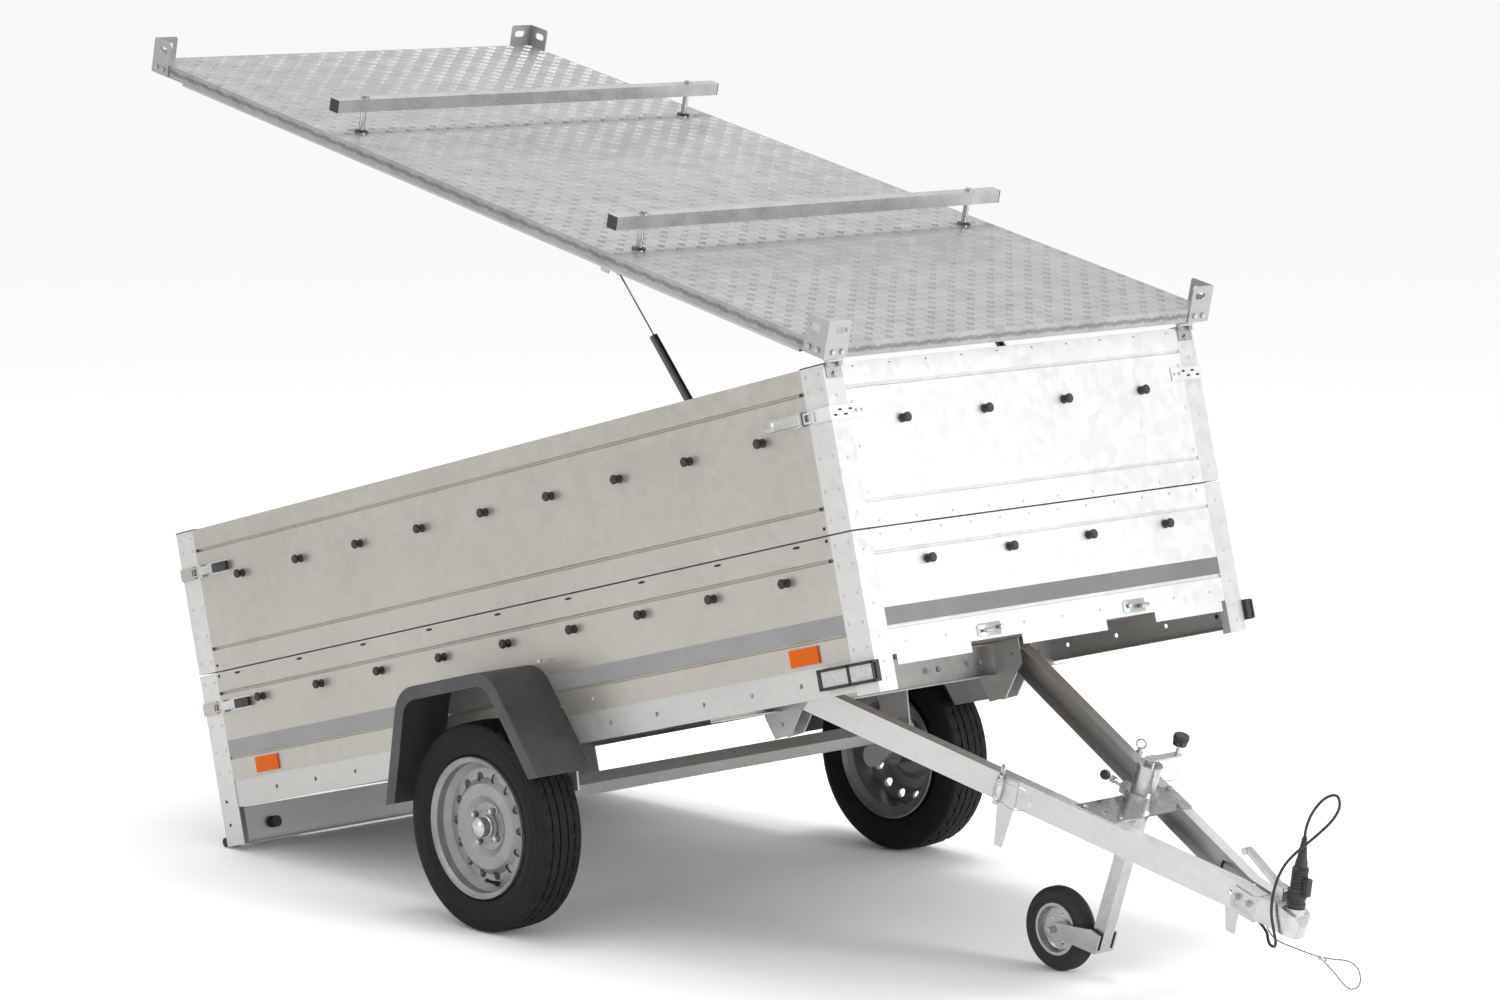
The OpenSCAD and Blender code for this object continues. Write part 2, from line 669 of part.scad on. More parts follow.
module swing_arm() {
    arm_y = axle_y - 140;
    x0 = -hw + 24;
    in_box() {
        difference() {
            union() {
                x_cyl(x0, x0 + 22, arm_y, -104, 28);
                x_cyl(x0, x0 + 22, axle_y, -axle_drop, 30);
                yz_plate(x0, 22, [[arm_y, -130], [axle_y, -193], [axle_y, -137], [arm_y, -78]]);
            }
        }
        x_cyl(x0 + 20, x0 + 80, arm_y, -104, 14);
        x_cyl(-wheel_x - 42, x0 + 2, axle_y, -axle_drop, 17);
    }
}

module swing_arm_right() color(galv) swing_arm();
module swing_arm_left() color(galv) mirror([1, 0, 0]) swing_arm();

// wheel parts are drawn with the wheel's axis along +z, the outer face at +z
module on_wheel() {
    in_box() translate([-wheel_x, axle_y, -axle_drop]) rotate([0, -90, 0]) children();
}

module rim() {
    half = tyre_w/2 - 2;
    difference() {
        rotate_extrude($fn = 96) polygon([[rim_r, half], [rim_r, half - 9], [rim_r - 10, half - 12],
            [rim_r - 12, half - 30], [rim_r - 30, half - 42], [rim_r - 30, 12 - half],
            [rim_r - 12, 6 - half], [rim_r - 2, -half], [rim_r - 6, -half - 3], [rim_r - 17, 6 - half],
            [rim_r - 34, 14 - half], [rim_r - 34, 10], [rim_r - 60, 18], [rim_r - 74, 30],
            [rim_r - 100, 30], [rim_r - 118, 20], [40, 20], [40, 26], [rim_r - 121, 26], [rim_r - 103, 36],
            [rim_r - 72, 36], [rim_r - 57, 24], [rim_r - 33, 24], [rim_r - 17, half - 28],
            [rim_r - 14, half - 9], [rim_r - 5, half - 4]]);
        for (k = [0:rim_holes - 1]) rotate([0, 0, k*360/rim_holes]) translate([rim_r - 54, 0, 0])
            cylinder(r = 12, h = 60);
    }
    // hub with four bolts and a grease cap
    difference() {
        union() {
            translate([0, 0, -40]) cylinder(r = 34, h = 58);
            translate([0, 0, 18]) cylinder(r = 62, h = 2);
            translate([0, 0, 18]) cylinder(r = 40, h = 14);
            translate([0, 0, 32]) cylinder(r = 26, h = 26);
        }
        translate([0, 0, -45]) cylinder(r = 17 + fit, h = 45 + 42 + 0.5);
    }
    for (k = [0:3]) rotate([0, 0, 45 + 90*k]) translate([50, 0, 18]) cylinder(r = 9, h = 22, $fn = 6);
}

module tyre() {
    half = tyre_w/2;
    tread = half - 14;
    outer = [[tyre_r, -tread + 6], [tyre_r, tread - 6], [tyre_r - 3, tread + 2],
        [tyre_r - 12, half - 5], [tyre_r - 36, half], [tyre_r - 62, half - 1], [rim_r + 10, half - 7],
        [rim_r + 0.5, half - 11.4], [rim_r - 9.6, half - 14.4], [rim_r - 11.4, half - 31]];
    inner = [[rim_r + 8, half - 30], [rim_r + 20, half - 14], [tyre_r - 40, half - 9],
        [tyre_r - 20, half - 16], [tyre_r - 13, tread - 12], [tyre_r - 13, 12 - tread],
        [tyre_r - 20, 16 - half], [tyre_r - 40, 9 - half], [rim_r + 20, 14 - half], [rim_r + 8, 30 - half]];
    back = [[rim_r - 11.4, 32 - half], [rim_r - 11.4, 8.6 - half], [rim_r - 1, 2.8 - half],
        [rim_r + 10, 7 - half], [tyre_r - 62, 1 - half], [tyre_r - 36, -half], [tyre_r - 12, 5 - half],
        [tyre_r - 3, -tread - 2]];
    rotate_extrude($fn = 128) polygon(concat(outer, inner, back));
}

module rim_right() color(galv) on_wheel() rim();
module rim_left() color(galv) mirror([1, 0, 0]) on_wheel() rim();
module tyre_right() color(rubber) on_wheel() tyre();
module tyre_left() color(rubber) mirror([1, 0, 0]) on_wheel() tyre();

// ---------- drawbar ----------

module arm_band(x_in, h0, t) {
    translate([0, 0, h0]) linear_extrude(t) polygon(concat([for (p = arm_path) [-p[0], -p[1]]],
        [for (i = [3:-1:0]) [-arm_path[i][0] + x_in, -arm_path[i][1]]]));
}

module drawbar_arms() color(bright) in_drawbar() {
    both() difference() {
        union() {
            arm_band(arm_t, -arm_h/2, arm_h);
            arm_band(arm_f, -arm_h/2, arm_t);
            arm_band(arm_f, arm_h/2 - arm_t, arm_t);
        }
        x_cyl(-root_x - 5, -root_x + arm_f + 5, 0, 0, 8 + fit);
        for (s = [arm_l - 85, arm_l - 44]) x_cyl(-nose_x - 20, -nose_x + 12, -s, 4, 6);
    }
    // lock plates with their pin sleeves, set along the outside of each arm
    both() translate([-lock_x, -lock_s, 0]) rotate([0, 0, atan(arm_slope)]) {
        yz_plate(-4, 5, [[16, 31], [-38, 31], [-44, -20], [-38, -146], [-18, -146], [6, -22]]);
        difference() {
            union() {
                translate([-15, 4, -24]) cylinder(r = 10, h = 48);
                translate([-15, -2, -24]) cube([13, 12, 48]);
            }
            translate([-15, 4, -30]) cylinder(r = 6 + fit, h = 60);
        }
    }
    // short prop under the front end
    sh_plate(-nose_x + 0.5, 5, [[arm_l - 91, -arm_h/2 + 1], [arm_l - 48, -arm_h/2 + 1], [arm_l - 42, -88],
        [arm_l - 68, -92]]);
}

module coupling_head() color(galv) in_drawbar() {
    cheek = nose_x + 0.3;
    tail = arm_l - 74;
    nose = socket_s + head_r;
    difference() {
        union() {
        intersection() {
            translate([0, 0, -60]) linear_extrude(120) union() {
                polygon([[-cheek - 4, -tail], [-cheek - 4, -arm_l - 5], [-head_r, -socket_s],
                    [head_r, -socket_s], [cheek + 4, -arm_l - 5], [cheek + 4, -tail]]);
                translate([0, -socket_s]) circle(r = head_r);
            }
            sh_plate(-60, 120, [[tail, -24], [arm_l, -26], [arm_l + 30, -22], [nose, -22], [nose, 8],
                [nose - 14, 32], [socket_s - 40, 44], [arm_l + 4, 36], [arm_l - 20, 27], [tail, 27]]);
        }
            // seat for the parked plug
            plug_place() translate([0, 0, -16]) cylinder(r = 24, h = 16);
        }
        translate([-cheek, -arm_l - 3, -60]) cube([2*cheek, arm_l, 120]);
        translate([0, -socket_s, -40]) cylinder(r = ball_r, h = 44);
        translate([0, -socket_s, 4]) sphere(r = ball_r);
        // room for the parked plug
        plug_place() translate([0, 0, -0.05]) cylinder(r = 25, h = 60);
    }
    both() for (s = [arm_l - 60, arm_l - 24])
        x_cyl(-cheek - 11, -cheek - 4, -s, 4, 9);
    // ears for the lever
    for (x = [-15, 11]) sh_plate(x, 4, [[arm_l + 4, 30], [arm_l + 48, 36], [arm_l + 40, 72], [arm_l + 16, 72]]);
    x_cyl(-15, 15, -arm_l - 28, 62, 5);
}

module coupling_lever() color(galv) in_drawbar() {
    s0 = arm_l + 28;
    difference() {
        union() {
            x_cyl(-10.5, 10.5, -s0, 62, 9.5);
            sh_plate(-10.5, 21, [[s0 + 8, 66], [s0 - 6, 71], [s0 - 128, 108], [s0 - 130, 98], [s0 - 8, 57]]);
            translate([0, -s0 + 130, 98]) rotate([0, 90, 0]) cylinder(r = 9, h = 24, center = true);
        }
        x_cyl(-12, 12, -s0, 62, 5 + fit);
    }
}

module jockey_clamp() color(galv) in_drawbar() difference() {
    union() {
        translate([0, 0, arm_h/2]) linear_extrude(4) polygon([[-172, -jockey_s + 55], [172, -jockey_s + 55],
            [142, -jockey_s - 50], [-142, -jockey_s - 50]]);
        translate([0, -jockey_s, arm_h/2]) cylinder(r = 42, h = 44);
        translate([-13, -jockey_s + 36, arm_h/2 + 12]) cube([26, 26, 26]);
    }
    translate([0, -jockey_s, 0]) cylinder(r = tube_r + fit, h = 200);
    y_cyl(0, -jockey_s + 10, -jockey_s + 80, arm_h/2 + 25, 6 + fit);
    for (x = [-120, 120]) translate([x, -jockey_s, 0]) cylinder(r = 5, h = 80);
}

module clamp_screw() color(galv) in_drawbar() {
    y1 = -jockey_s + 98;
    z1 = arm_h/2 + 25;
    y_cyl(0, -jockey_s + tube_r + 0.4, y1, z1, 6);
    translate([-7, y1 - 7, z1 - 7]) cube([14, 14, 14]);
    translate([0, y1, z1]) rotate([0, -62, 0]) {
        cylinder(r = 5, h = 30);
        translate([0, 0, 28]) cylinder(r1 = 7, r2 = 12, h = 7);
        translate([0, 0, 35]) cylinder(r = 12, h = 9);
        translate([0, 0, 44]) cylinder(r1 = 12, r2 = 7, h = 5);
    }
}

module jockey_tube() color(bright) in_drawbar() translate([0, -jockey_s, 0]) difference() {
    union() {
        translate([0, 0, -98]) cylinder(r = tube_r, h = 245);
        translate([0, 0, 147]) cylinder(r = tube_r + 2, h = 6);
    }
    translate([0, 0, -100]) cylinder(r = tube_r - 2.5, h = 243);
    translate([0, 0, 100]) cylinder(r = 7 + fit, h = 100);
}

module jockey_crank() color(galv) in_drawbar() translate([0, -jockey_s, 0]) {
    translate([0, 0, 136]) cylinder(r = 7, h = 28);
    translate([0, 0, 153.4]) cylinder(r = 14, h = 8);
    translate([-12, -11, 161]) cube([112, 22, 6]);
    translate([90, 0, 161]) cylinder(r = 5, h = 40);
    translate([90, 0, 190]) cylinder(r = 17, h = 26);
}

module jockey_leg() color(bright) in_drawbar() {
    translate([-leg_sq/2, -jockey_s - leg_sq/2, jockey_wh + 12]) cube([leg_sq, leg_sq, 15 - jockey_wh - 12]);
    for (x = [-33, 27.5]) sh_plate(x, 5.5, [[jockey_s + 18, jockey_wh + 12], [jockey_s + 18, jockey_wh + 62],
        [jockey_s - 18, jockey_wh + 62], [jockey_ws - 8, jockey_wh + 17], [jockey_ws - 18, jockey_wh],
        [jockey_ws - 8, jockey_wh - 17]]);
    translate([-33, -jockey_s - 18, jockey_wh + 12]) cube([66, 36, 8]);
    x_cyl(-40, 40, -jockey_ws, jockey_wh, 8);
}

module on_jockey_wheel() {
    in_drawbar() translate([0, -jockey_ws, jockey_wh]) rotate([0, -90, 0]) children();
}

module jockey_rim() color(galv) on_jockey_wheel() difference() {
    rotate_extrude($fn = 64) polygon([[8 + fit, -26], [18, -26], [18, -6], [52, -6], [58, -22], [68, -22],
        [68, -18], [63, -15], [63, 15], [68, 18], [68, 22], [58, 22], [52, 6], [18, 6], [18, 26], [8 + fit, 26]]);
    for (k = [0:4]) rotate([0, 0, 72*k]) translate([36, 0, -20]) cylinder(r = 6, h = 40);
}

module jockey_tyre() color(rubber) on_jockey_wheel() rotate_extrude($fn = 80)
    polygon([[63.2, -14.8], [68.2, -18], [76, -24], [92, -25], [101, -19], [jockey_r, -10], [jockey_r, 10],
        [101, 19], [92, 25], [76, 24], [68.2, 18], [63.2, 14.8]]);

module lock_pin() in_drawbar() translate([-lock_x, -lock_s, 0]) rotate([0, 0, atan(arm_slope)])
    translate([-15, 4, 0]) {
        translate([0, 0, -40]) cylinder(r = 6, h = 80);
        translate([0, 0, 24.4]) cylinder(r = 9, h = 6);
        translate([0, 0, 52]) rotate([90, 0, 40]) rotate_extrude($fn = 48) translate([12, 0]) circle(r = 2.5);
    }

module lock_pin_right() color(galv) lock_pin();
module lock_pin_left() color(galv) mirror([1, 0, 0]) lock_pin();

// ---------- plug, lead and safety wire ----------

module plug_place() translate([0, -socket_s + 6, 42]) rotate([-10.5, 0, 0]) children();

module plug() color(plastic) in_drawbar() {
    plug_place() {
        cylinder(r = 22, h = 40);
        translate([0, 0, 40]) cylinder(r = 19, h = 58);
        translate([0, 0, 98]) cylinder(r1 = 15, r2 = 10, h = 34);
        translate([0, 0, 132]) cylinder(r1 = 10, r2 = 6, h = 42);
        translate([-8, -34, 36]) cube([16, 16, 40]);
    }
}

// round tube swept along a list of points: one ring at each point, square to the path
function unit(v) = v/norm(v);
function tangent(p, i) = unit(p[min(i + 1, len(p) - 1)] - p[max(i - 1, 0)]);
function ring(c, t, r, n) = let(u = unit(cross(t, [0.9, 0.2, 0.3])), v = cross(t, u))
    [for (k = [0:n - 1]) c + r*(cos(360*k/n)*u + sin(360*k/n)*v)];
// Catmull-Rom points between the hand-chosen ones
function spline(p, m) = [for (i = [0:len(p) - 2], j = [0:m - 1]) let(t = j/m,
    a = p[max(i - 1, 0)], b = p[i], c = p[i + 1], d = p[min(i + 2, len(p) - 1)])
    0.5*((2*b) + (c - a)*t + (2*a - 5*b + 4*c - d)*t*t + (3*b - a - 3*c + d)*t*t*t)];
module sweep(route, r, n) {
    p = concat(spline([for (q = route) [q[0], -q[1], q[2]]], 2), [[route[len(route) - 1][0],
        -route[len(route) - 1][1], route[len(route) - 1][2]]]);
    m = len(p);
    pts = [for (i = [0:m - 1]) each ring(p[i], tangent(p, i), r, n)];
    sides = [for (i = [0:m - 2], k = [0:n - 1]) [i*n + k, i*n + (k + 1)%n, (i + 1)*n + (k + 1)%n, (i + 1)*n + k]];
    polyhedron(points = pts, faces = concat([[for (k = [n - 1:-1:0]) k]],
        sides, [[for (k = [0:n - 1]) (m - 1)*n + k]]));
}

module plug_lead() color(plastic) in_drawbar() sweep(lead_pts, lead_r, 10);
module safety_wire() color(galv) in_drawbar() sweep(wire_pts, wire_r, 8);

side_rails();
cross_members();
floor_board();
side_walls();
front_wall();
corner_posts();
post_caps();
wall_hooks();
side_reflectors();
lamp_housings();
lamp_lenses();
axle_tube();
mudguards();
pivot_brackets();
box_fittings();
rear_buffers();
lid_skin();
lid_frame();
lid_ears();
lid_hinges();
roof_bars();
bar_caps();
bar_posts();
strut_cylinder_right();
strut_cylinder_left();
strut_rod_right();
strut_rod_left();
front_flap();
front_flap_hooks();
tailgate_lower();
tailgate_lower_hooks();
tailgate_upper();
tailgate_upper_hooks();
latch_front_right();
latch_front_left();
latch_upper_right();
latch_upper_left();
latch_lower_right();
latch_lower_left();
swing_arm_right();
swing_arm_left();
rim_right();
rim_left();
tyre_right();
tyre_left();
drawbar_arms();
coupling_head();
jockey_clamp();
lock_pin_right();
lock_pin_left();
coupling_lever();
clamp_screw();
jockey_tube();
jockey_crank();
jockey_leg();
jockey_rim();
jockey_tyre();
plug();
plug_lead();
safety_wire();
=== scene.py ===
"""Looks of a tilting two-tier box trailer with a hinged lid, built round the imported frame."""

import json
import logging
import math
from dataclasses import dataclass, field
from enum import Enum
from typing import Callable, Iterable, Sequence

import bmesh
import bpy
from mathutils import Euler, Matrix, Vector


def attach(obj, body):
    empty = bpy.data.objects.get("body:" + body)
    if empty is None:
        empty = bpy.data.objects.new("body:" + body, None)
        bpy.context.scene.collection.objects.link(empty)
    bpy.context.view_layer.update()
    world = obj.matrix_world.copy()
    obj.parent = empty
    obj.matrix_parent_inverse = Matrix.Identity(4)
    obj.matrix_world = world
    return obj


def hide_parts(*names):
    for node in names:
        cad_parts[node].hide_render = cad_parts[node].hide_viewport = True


LOG = logging.getLogger("trailer")

Point = tuple[float, float, float]
Profile = Sequence[tuple[float, float]]

# ---------------------------------------------------------------- frames of the sub-assemblies

BOX_WIDTH, BOX_LENGTH, BOX_TOP = 1.304, 2.700, 0.777
SEAM, RAIL = 0.377, 0.075
HALF = BOX_WIDTH / 2
TILT, LID_OPEN, DRAWBAR_DROP = 14.73, 27.1, 33.6
AXLE = (1.410, 0.165, 0.271)
ROW_Y = 0.2741
LID_WIDTH, LID_LENGTH, LID_RIM = 1.350, 2.750, 0.035


def turn_x(degrees: float) -> Matrix:
    """A rotation about the X axis."""
    return Matrix.Rotation(math.radians(degrees), 4, "X")


def shift(x: float, y: float, z: float) -> Matrix:
    """A translation."""
    return Matrix.Translation((x, y, z))


BOX = shift(0, ROW_Y, AXLE[2]) @ turn_x(-TILT) @ shift(0, -AXLE[0], AXLE[1])
LID = BOX @ shift(0, -0.008, 0.786) @ turn_x(LID_OPEN) @ shift(0, -0.0227, 0.0105)
DRAWBAR = BOX @ shift(0, 0.560, 0.032) @ turn_x(DRAWBAR_DROP)


# ---------------------------------------------------------------- shader maths


class Wave:
    """A shader socket that takes part in arithmetic.

    Each operator adds one Math node to the material's tree.
    """

    def __init__(self, shade: "Shade", socket: bpy.types.NodeSocket) -> None:
        """Wraps one output socket of a tree."""
        self.shade = shade
        self.socket = socket

    def _math(self, operation: str, first: "Wave | float", second: "Wave | float") -> "Wave":
        """One Math node on two values, clamped to nothing."""
        return self.shade.add("ShaderNodeMath", {"operation": operation}, {0: first, 1: second})

    def __add__(self, other: "Wave | float") -> "Wave":
        """Sum."""
        return self._math("ADD", self, other)

    def __radd__(self, other: float) -> "Wave":
        """Sum, value first."""
        return self._math("ADD", other, self)

    def __sub__(self, other: "Wave | float") -> "Wave":
        """Difference."""
        return self._math("SUBTRACT", self, other)

    def __rsub__(self, other: float) -> "Wave":
        """Difference, value first."""
        return self._math("SUBTRACT", other, self)

    def __mul__(self, other: "Wave | float") -> "Wave":
        """Product."""
        return self._math("MULTIPLY", self, other)

    def __rmul__(self, other: float) -> "Wave":
        """Product, value first."""
        return self._math("MULTIPLY", other, self)

    def __truediv__(self, other: "Wave | float") -> "Wave":
        """Quotient."""
        return self._math("DIVIDE", self, other)

    def __pow__(self, other: float) -> "Wave":
        """Power."""
        return self._math("POWER", self, other)

class Shade:
    """One node material under construction, with its Principled shader."""

    def __init__(self, name: str) -> None:
        """Starts a material that holds only a Principled shader and an output."""
        self.material = bpy.data.materials.new(name)
        self.material.use_nodes = True
        self.tree = self.material.node_tree
        self.skin = self.tree.nodes["Principled BSDF"]

    def add(self, kind: str, settings: dict | None = None, inputs: dict | None = None,
            output: int | str = 0) -> Wave:
        """Adds any node.

        Args:
            kind: the node's type.
            settings: properties set before the sockets, such as an operation.
            inputs: values or links of its sockets, by name or number.
            output: the output socket to hand back.

        Returns:
            The chosen output, ready for arithmetic.
        """
        node = self.tree.nodes.new(kind)
        for key, value in (settings or {}).items():
            if key == "stops":
                self._stops(node, value)
            else:
                setattr(node, key, value)
        for key, value in (inputs or {}).items():
            self._feed(node.inputs[key], value)
        return Wave(self, node.outputs[output])

    @staticmethod
    def _stops(node: bpy.types.Node, stops: Sequence[tuple[float, Sequence[float]]]) -> None:
        """Sets a colour ramp's stops."""
        ramp = node.color_ramp.elements
        while len(ramp) < len(stops):
            ramp.new(0.5)
        for element, (place, colour) in zip(ramp, stops):
            element.position = place
            element.color = (*colour, 1.0)

    def _feed(self, socket: bpy.types.NodeSocket, value: object) -> None:
        """Links a wave to a socket or sets the socket's own value."""
        if isinstance(value, Wave):
            self.tree.links.new(value.socket, socket)
        else:
            socket.default_value = value

    def set(self, **sockets: object) -> None:
        """Sets or links the Principled shader's sockets, with _ for a space in a name."""
        for key, value in sockets.items():
            self._feed(self.skin.inputs[key.replace("_", " ")], value)

    def place(self, scale: Point = (1, 1, 1), turn: Point = (0, 0, 0)) -> Wave:
        """Object coordinates, stretched and turned."""
        where = self.add("ShaderNodeTexCoord", output="Object")
        return self.add("ShaderNodeMapping", {}, {0: where, "Rotation": turn, "Scale": scale})

    def noise(self, scale: float, detail: float = 3.0, rough: float = 0.5,
              where: Wave | None = None) -> Wave:
        """Noise from 0 to 1 at a scale, in waves to the metre."""
        return self.add("ShaderNodeTexNoise", {}, {
            "Vector": where or self.place(), "Scale": scale, "Detail": detail, "Roughness": rough})

    def cells(self, scale: float, output: str = "Color", feature: str = "F1",
              where: Wave | None = None) -> Wave:
        """Voronoi cells at a scale, in cells to the metre."""
        return self.add("ShaderNodeTexVoronoi", {"feature": feature}, {
            "Vector": where or self.place(), "Scale": scale}, output)

    def ramp(self, value: Wave, *stops: tuple[float, Sequence[float]]) -> Wave:
        """A colour ramp over a value."""
        return self.add("ShaderNodeValToRGB", {"stops": stops}, {0: value})

    def bump(self, height: Wave, depth: float, strength: float = 1.0) -> None:
        """Lets a height wave, in units of depth in metres, stand the surface up."""
        normal = self.add("ShaderNodeBump", {}, {
            "Height": height, "Distance": depth, "Strength": strength})
        self.set(Normal=normal)


class Grain(Enum):
    """How fine a moulded surface is textured."""

    FINE = 1400.0
    COARSE = 420.0


@dataclass(frozen=True)
class Galvanised:
    """Zinc-coated sheet: soft cloudy reflections over faint crystal flakes."""

    name: str
    tone: Point = (0.375, 0.358, 0.328)
    rough: float = 0.34
    flakes: float = 38.0
    cloud: float = 0.10
    metal: float = 0.60

    def make(self) -> bpy.types.Material:
        """Builds the material."""
        shade = Shade(self.name)
        flake = shade.add("ShaderNodeRGBToBW", {}, {0: shade.cells(self.flakes)})
        fine = shade.add("ShaderNodeRGBToBW", {}, {0: shade.cells(self.flakes * 3.1)})
        cloud = shade.noise(1.7, 4.0, 0.6)
        streak = shade.noise(9.0, 3.0, 0.55, shade.place((0.25, 3.0, 3.0)))
        value = cloud * (2 * self.cloud) + flake * 0.05 + fine * 0.02 + streak * 0.05
        dark = tuple(c * 0.80 for c in self.tone)
        light = tuple(min(1.0, c * 1.16) for c in self.tone)
        colour = shade.ramp(value, (0.02, dark), (0.24, light))
        shade.set(Base_Color=colour, Metallic=self.metal,
                  Roughness=self.rough + (flake - 0.5) * 0.10 + (cloud - 0.5) * 0.12)
        shade.bump(shade.noise(5.0, 2.0) + flake * 0.05, 0.0012, 0.35)
        return shade.material


@dataclass(frozen=True)
class Steel:
    """Plated or polished steel with fine scratches and rubbed edges."""

    name: str
    tone: Point = (0.72, 0.72, 0.70)
    rough: float = 0.24
    warm: float = 0.0
    metal: float = 0.95

    def make(self) -> bpy.types.Material:
        """Builds the material."""
        shade = Shade(self.name)
        scratch = shade.noise(240.0, 4.0, 0.7, shade.place((1, 0.08, 1)))
        stain = shade.noise(14.0, 4.0, 0.6)
        yellow = (self.tone[0], self.tone[1] * (1 - 0.08 * self.warm), self.tone[2] * (1 - 0.42 * self.warm))
        dull = tuple(c * 0.78 for c in yellow)
        shade.set(Base_Color=shade.ramp(stain, (0.30, dull), (0.62, yellow)), Metallic=self.metal,
                  Roughness=self.rough + (scratch - 0.5) * 0.22 + (stain - 0.5) * 0.10)
        shade.bump(scratch, 0.0002, 0.25)
        return shade.material


@dataclass(frozen=True)
class Moulded:
    """Black or grey plastic or rubber with a moulded grain and dust in the hollows."""

    name: str
    tone: Point
    rough: float = 0.5
    grain: Grain = Grain.FINE
    depth: float = 0.00025
    coat: float = 0.0

    def make(self) -> bpy.types.Material:
        """Builds the material."""
        shade = Shade(self.name)
        pores = shade.cells(self.grain.value, "Distance")
        patch = shade.noise(11.0, 4.0, 0.6)
        light = tuple(min(1.0, c * 1.35 + 0.006) for c in self.tone)
        dark = tuple(c * 0.75 for c in self.tone)
        shade.set(Base_Color=shade.ramp(patch, (0.30, dark), (0.72, light)), Coat_Weight=self.coat,
                  Roughness=self.rough + (patch - 0.5) * 0.18 + pores * 0.10)
        shade.bump(pores, self.depth, 0.6)
        return shade.material


@dataclass(frozen=True)
class TyreRubber:
    """Matte rubber, greyer on the tread than on the wall, with fine moulding rings."""

    name: str = "tyre_rubber"

    def make(self) -> bpy.types.Material:
        """Builds the material."""
        shade = Shade(self.name)
        dust = shade.noise(26.0, 5.0, 0.65)
        speck = shade.noise(900.0, 2.0)
        wall, dusty = (0.0055, 0.0055, 0.006), (0.013, 0.013, 0.0135)
        shade.set(Base_Color=shade.ramp(dust, (0.32, wall), (0.75, dusty)),
                  Roughness=0.70 + (dust - 0.5) * 0.25, Specular_IOR_Level=0.18)
        shade.bump(speck, 0.0003, 0.5)
        return shade.material


@dataclass(frozen=True)
class Reflector:
    """Coloured prismatic plastic: small square prisms under a clear face."""

    name: str
    tone: Point
    prism: float = 330.0
    gloss: float = 0.1

    def make(self) -> bpy.types.Material:
        """Builds the material."""
        shade = Shade(self.name)
        prism = shade.add("ShaderNodeRGBToBW", {}, {0: shade.cells(self.prism)})
        dark = tuple(c * 0.82 for c in self.tone)
        shade.set(Base_Color=shade.ramp(prism, (0.2, dark), (0.8, self.tone)),
                  Roughness=0.34 + prism * 0.12, Coat_Weight=self.gloss, Coat_Roughness=0.12,
                  Specular_IOR_Level=0.12)
        shade.bump(prism, 0.0002, 0.3)
        return shade.material


@dataclass(frozen=True)
class Plywood:
    """Dark film-faced plywood with a pressed wire mesh and a wood edge."""

    name: str = "film_faced_plywood"

    def make(self) -> bpy.types.Material:
        """Builds the material."""
        shade = Shade(self.name)
        grain = shade.noise(18.0, 6.0, 0.6, shade.place((1.0, 9.0, 1.0)))
        mesh = shade.cells(260.0, "Distance")
        shade.set(Base_Color=shade.ramp(grain, (0.3, (0.045, 0.028, 0.020)), (0.7, (0.115, 0.072, 0.048))),
                  Roughness=0.46 + mesh * 0.2)
        shade.bump(mesh, 0.0004, 0.5)
        return shade.material


@dataclass(frozen=True)
class PrintedStripe:
    """A plain grey printed band on the walls."""

    name: str = "printed_band"
    tone: Point = (0.215, 0.215, 0.218)

    def make(self) -> bpy.types.Material:
        """Builds the material."""
        shade = Shade(self.name)
        fade = shade.noise(7.0, 4.0, 0.6)
        light = tuple(c * 1.22 for c in self.tone)
        shade.set(Base_Color=shade.ramp(fade, (0.3, self.tone), (0.75, light)), Metallic=0.25,
                  Roughness=0.42 + (fade - 0.5) * 0.15)
        return shade.material


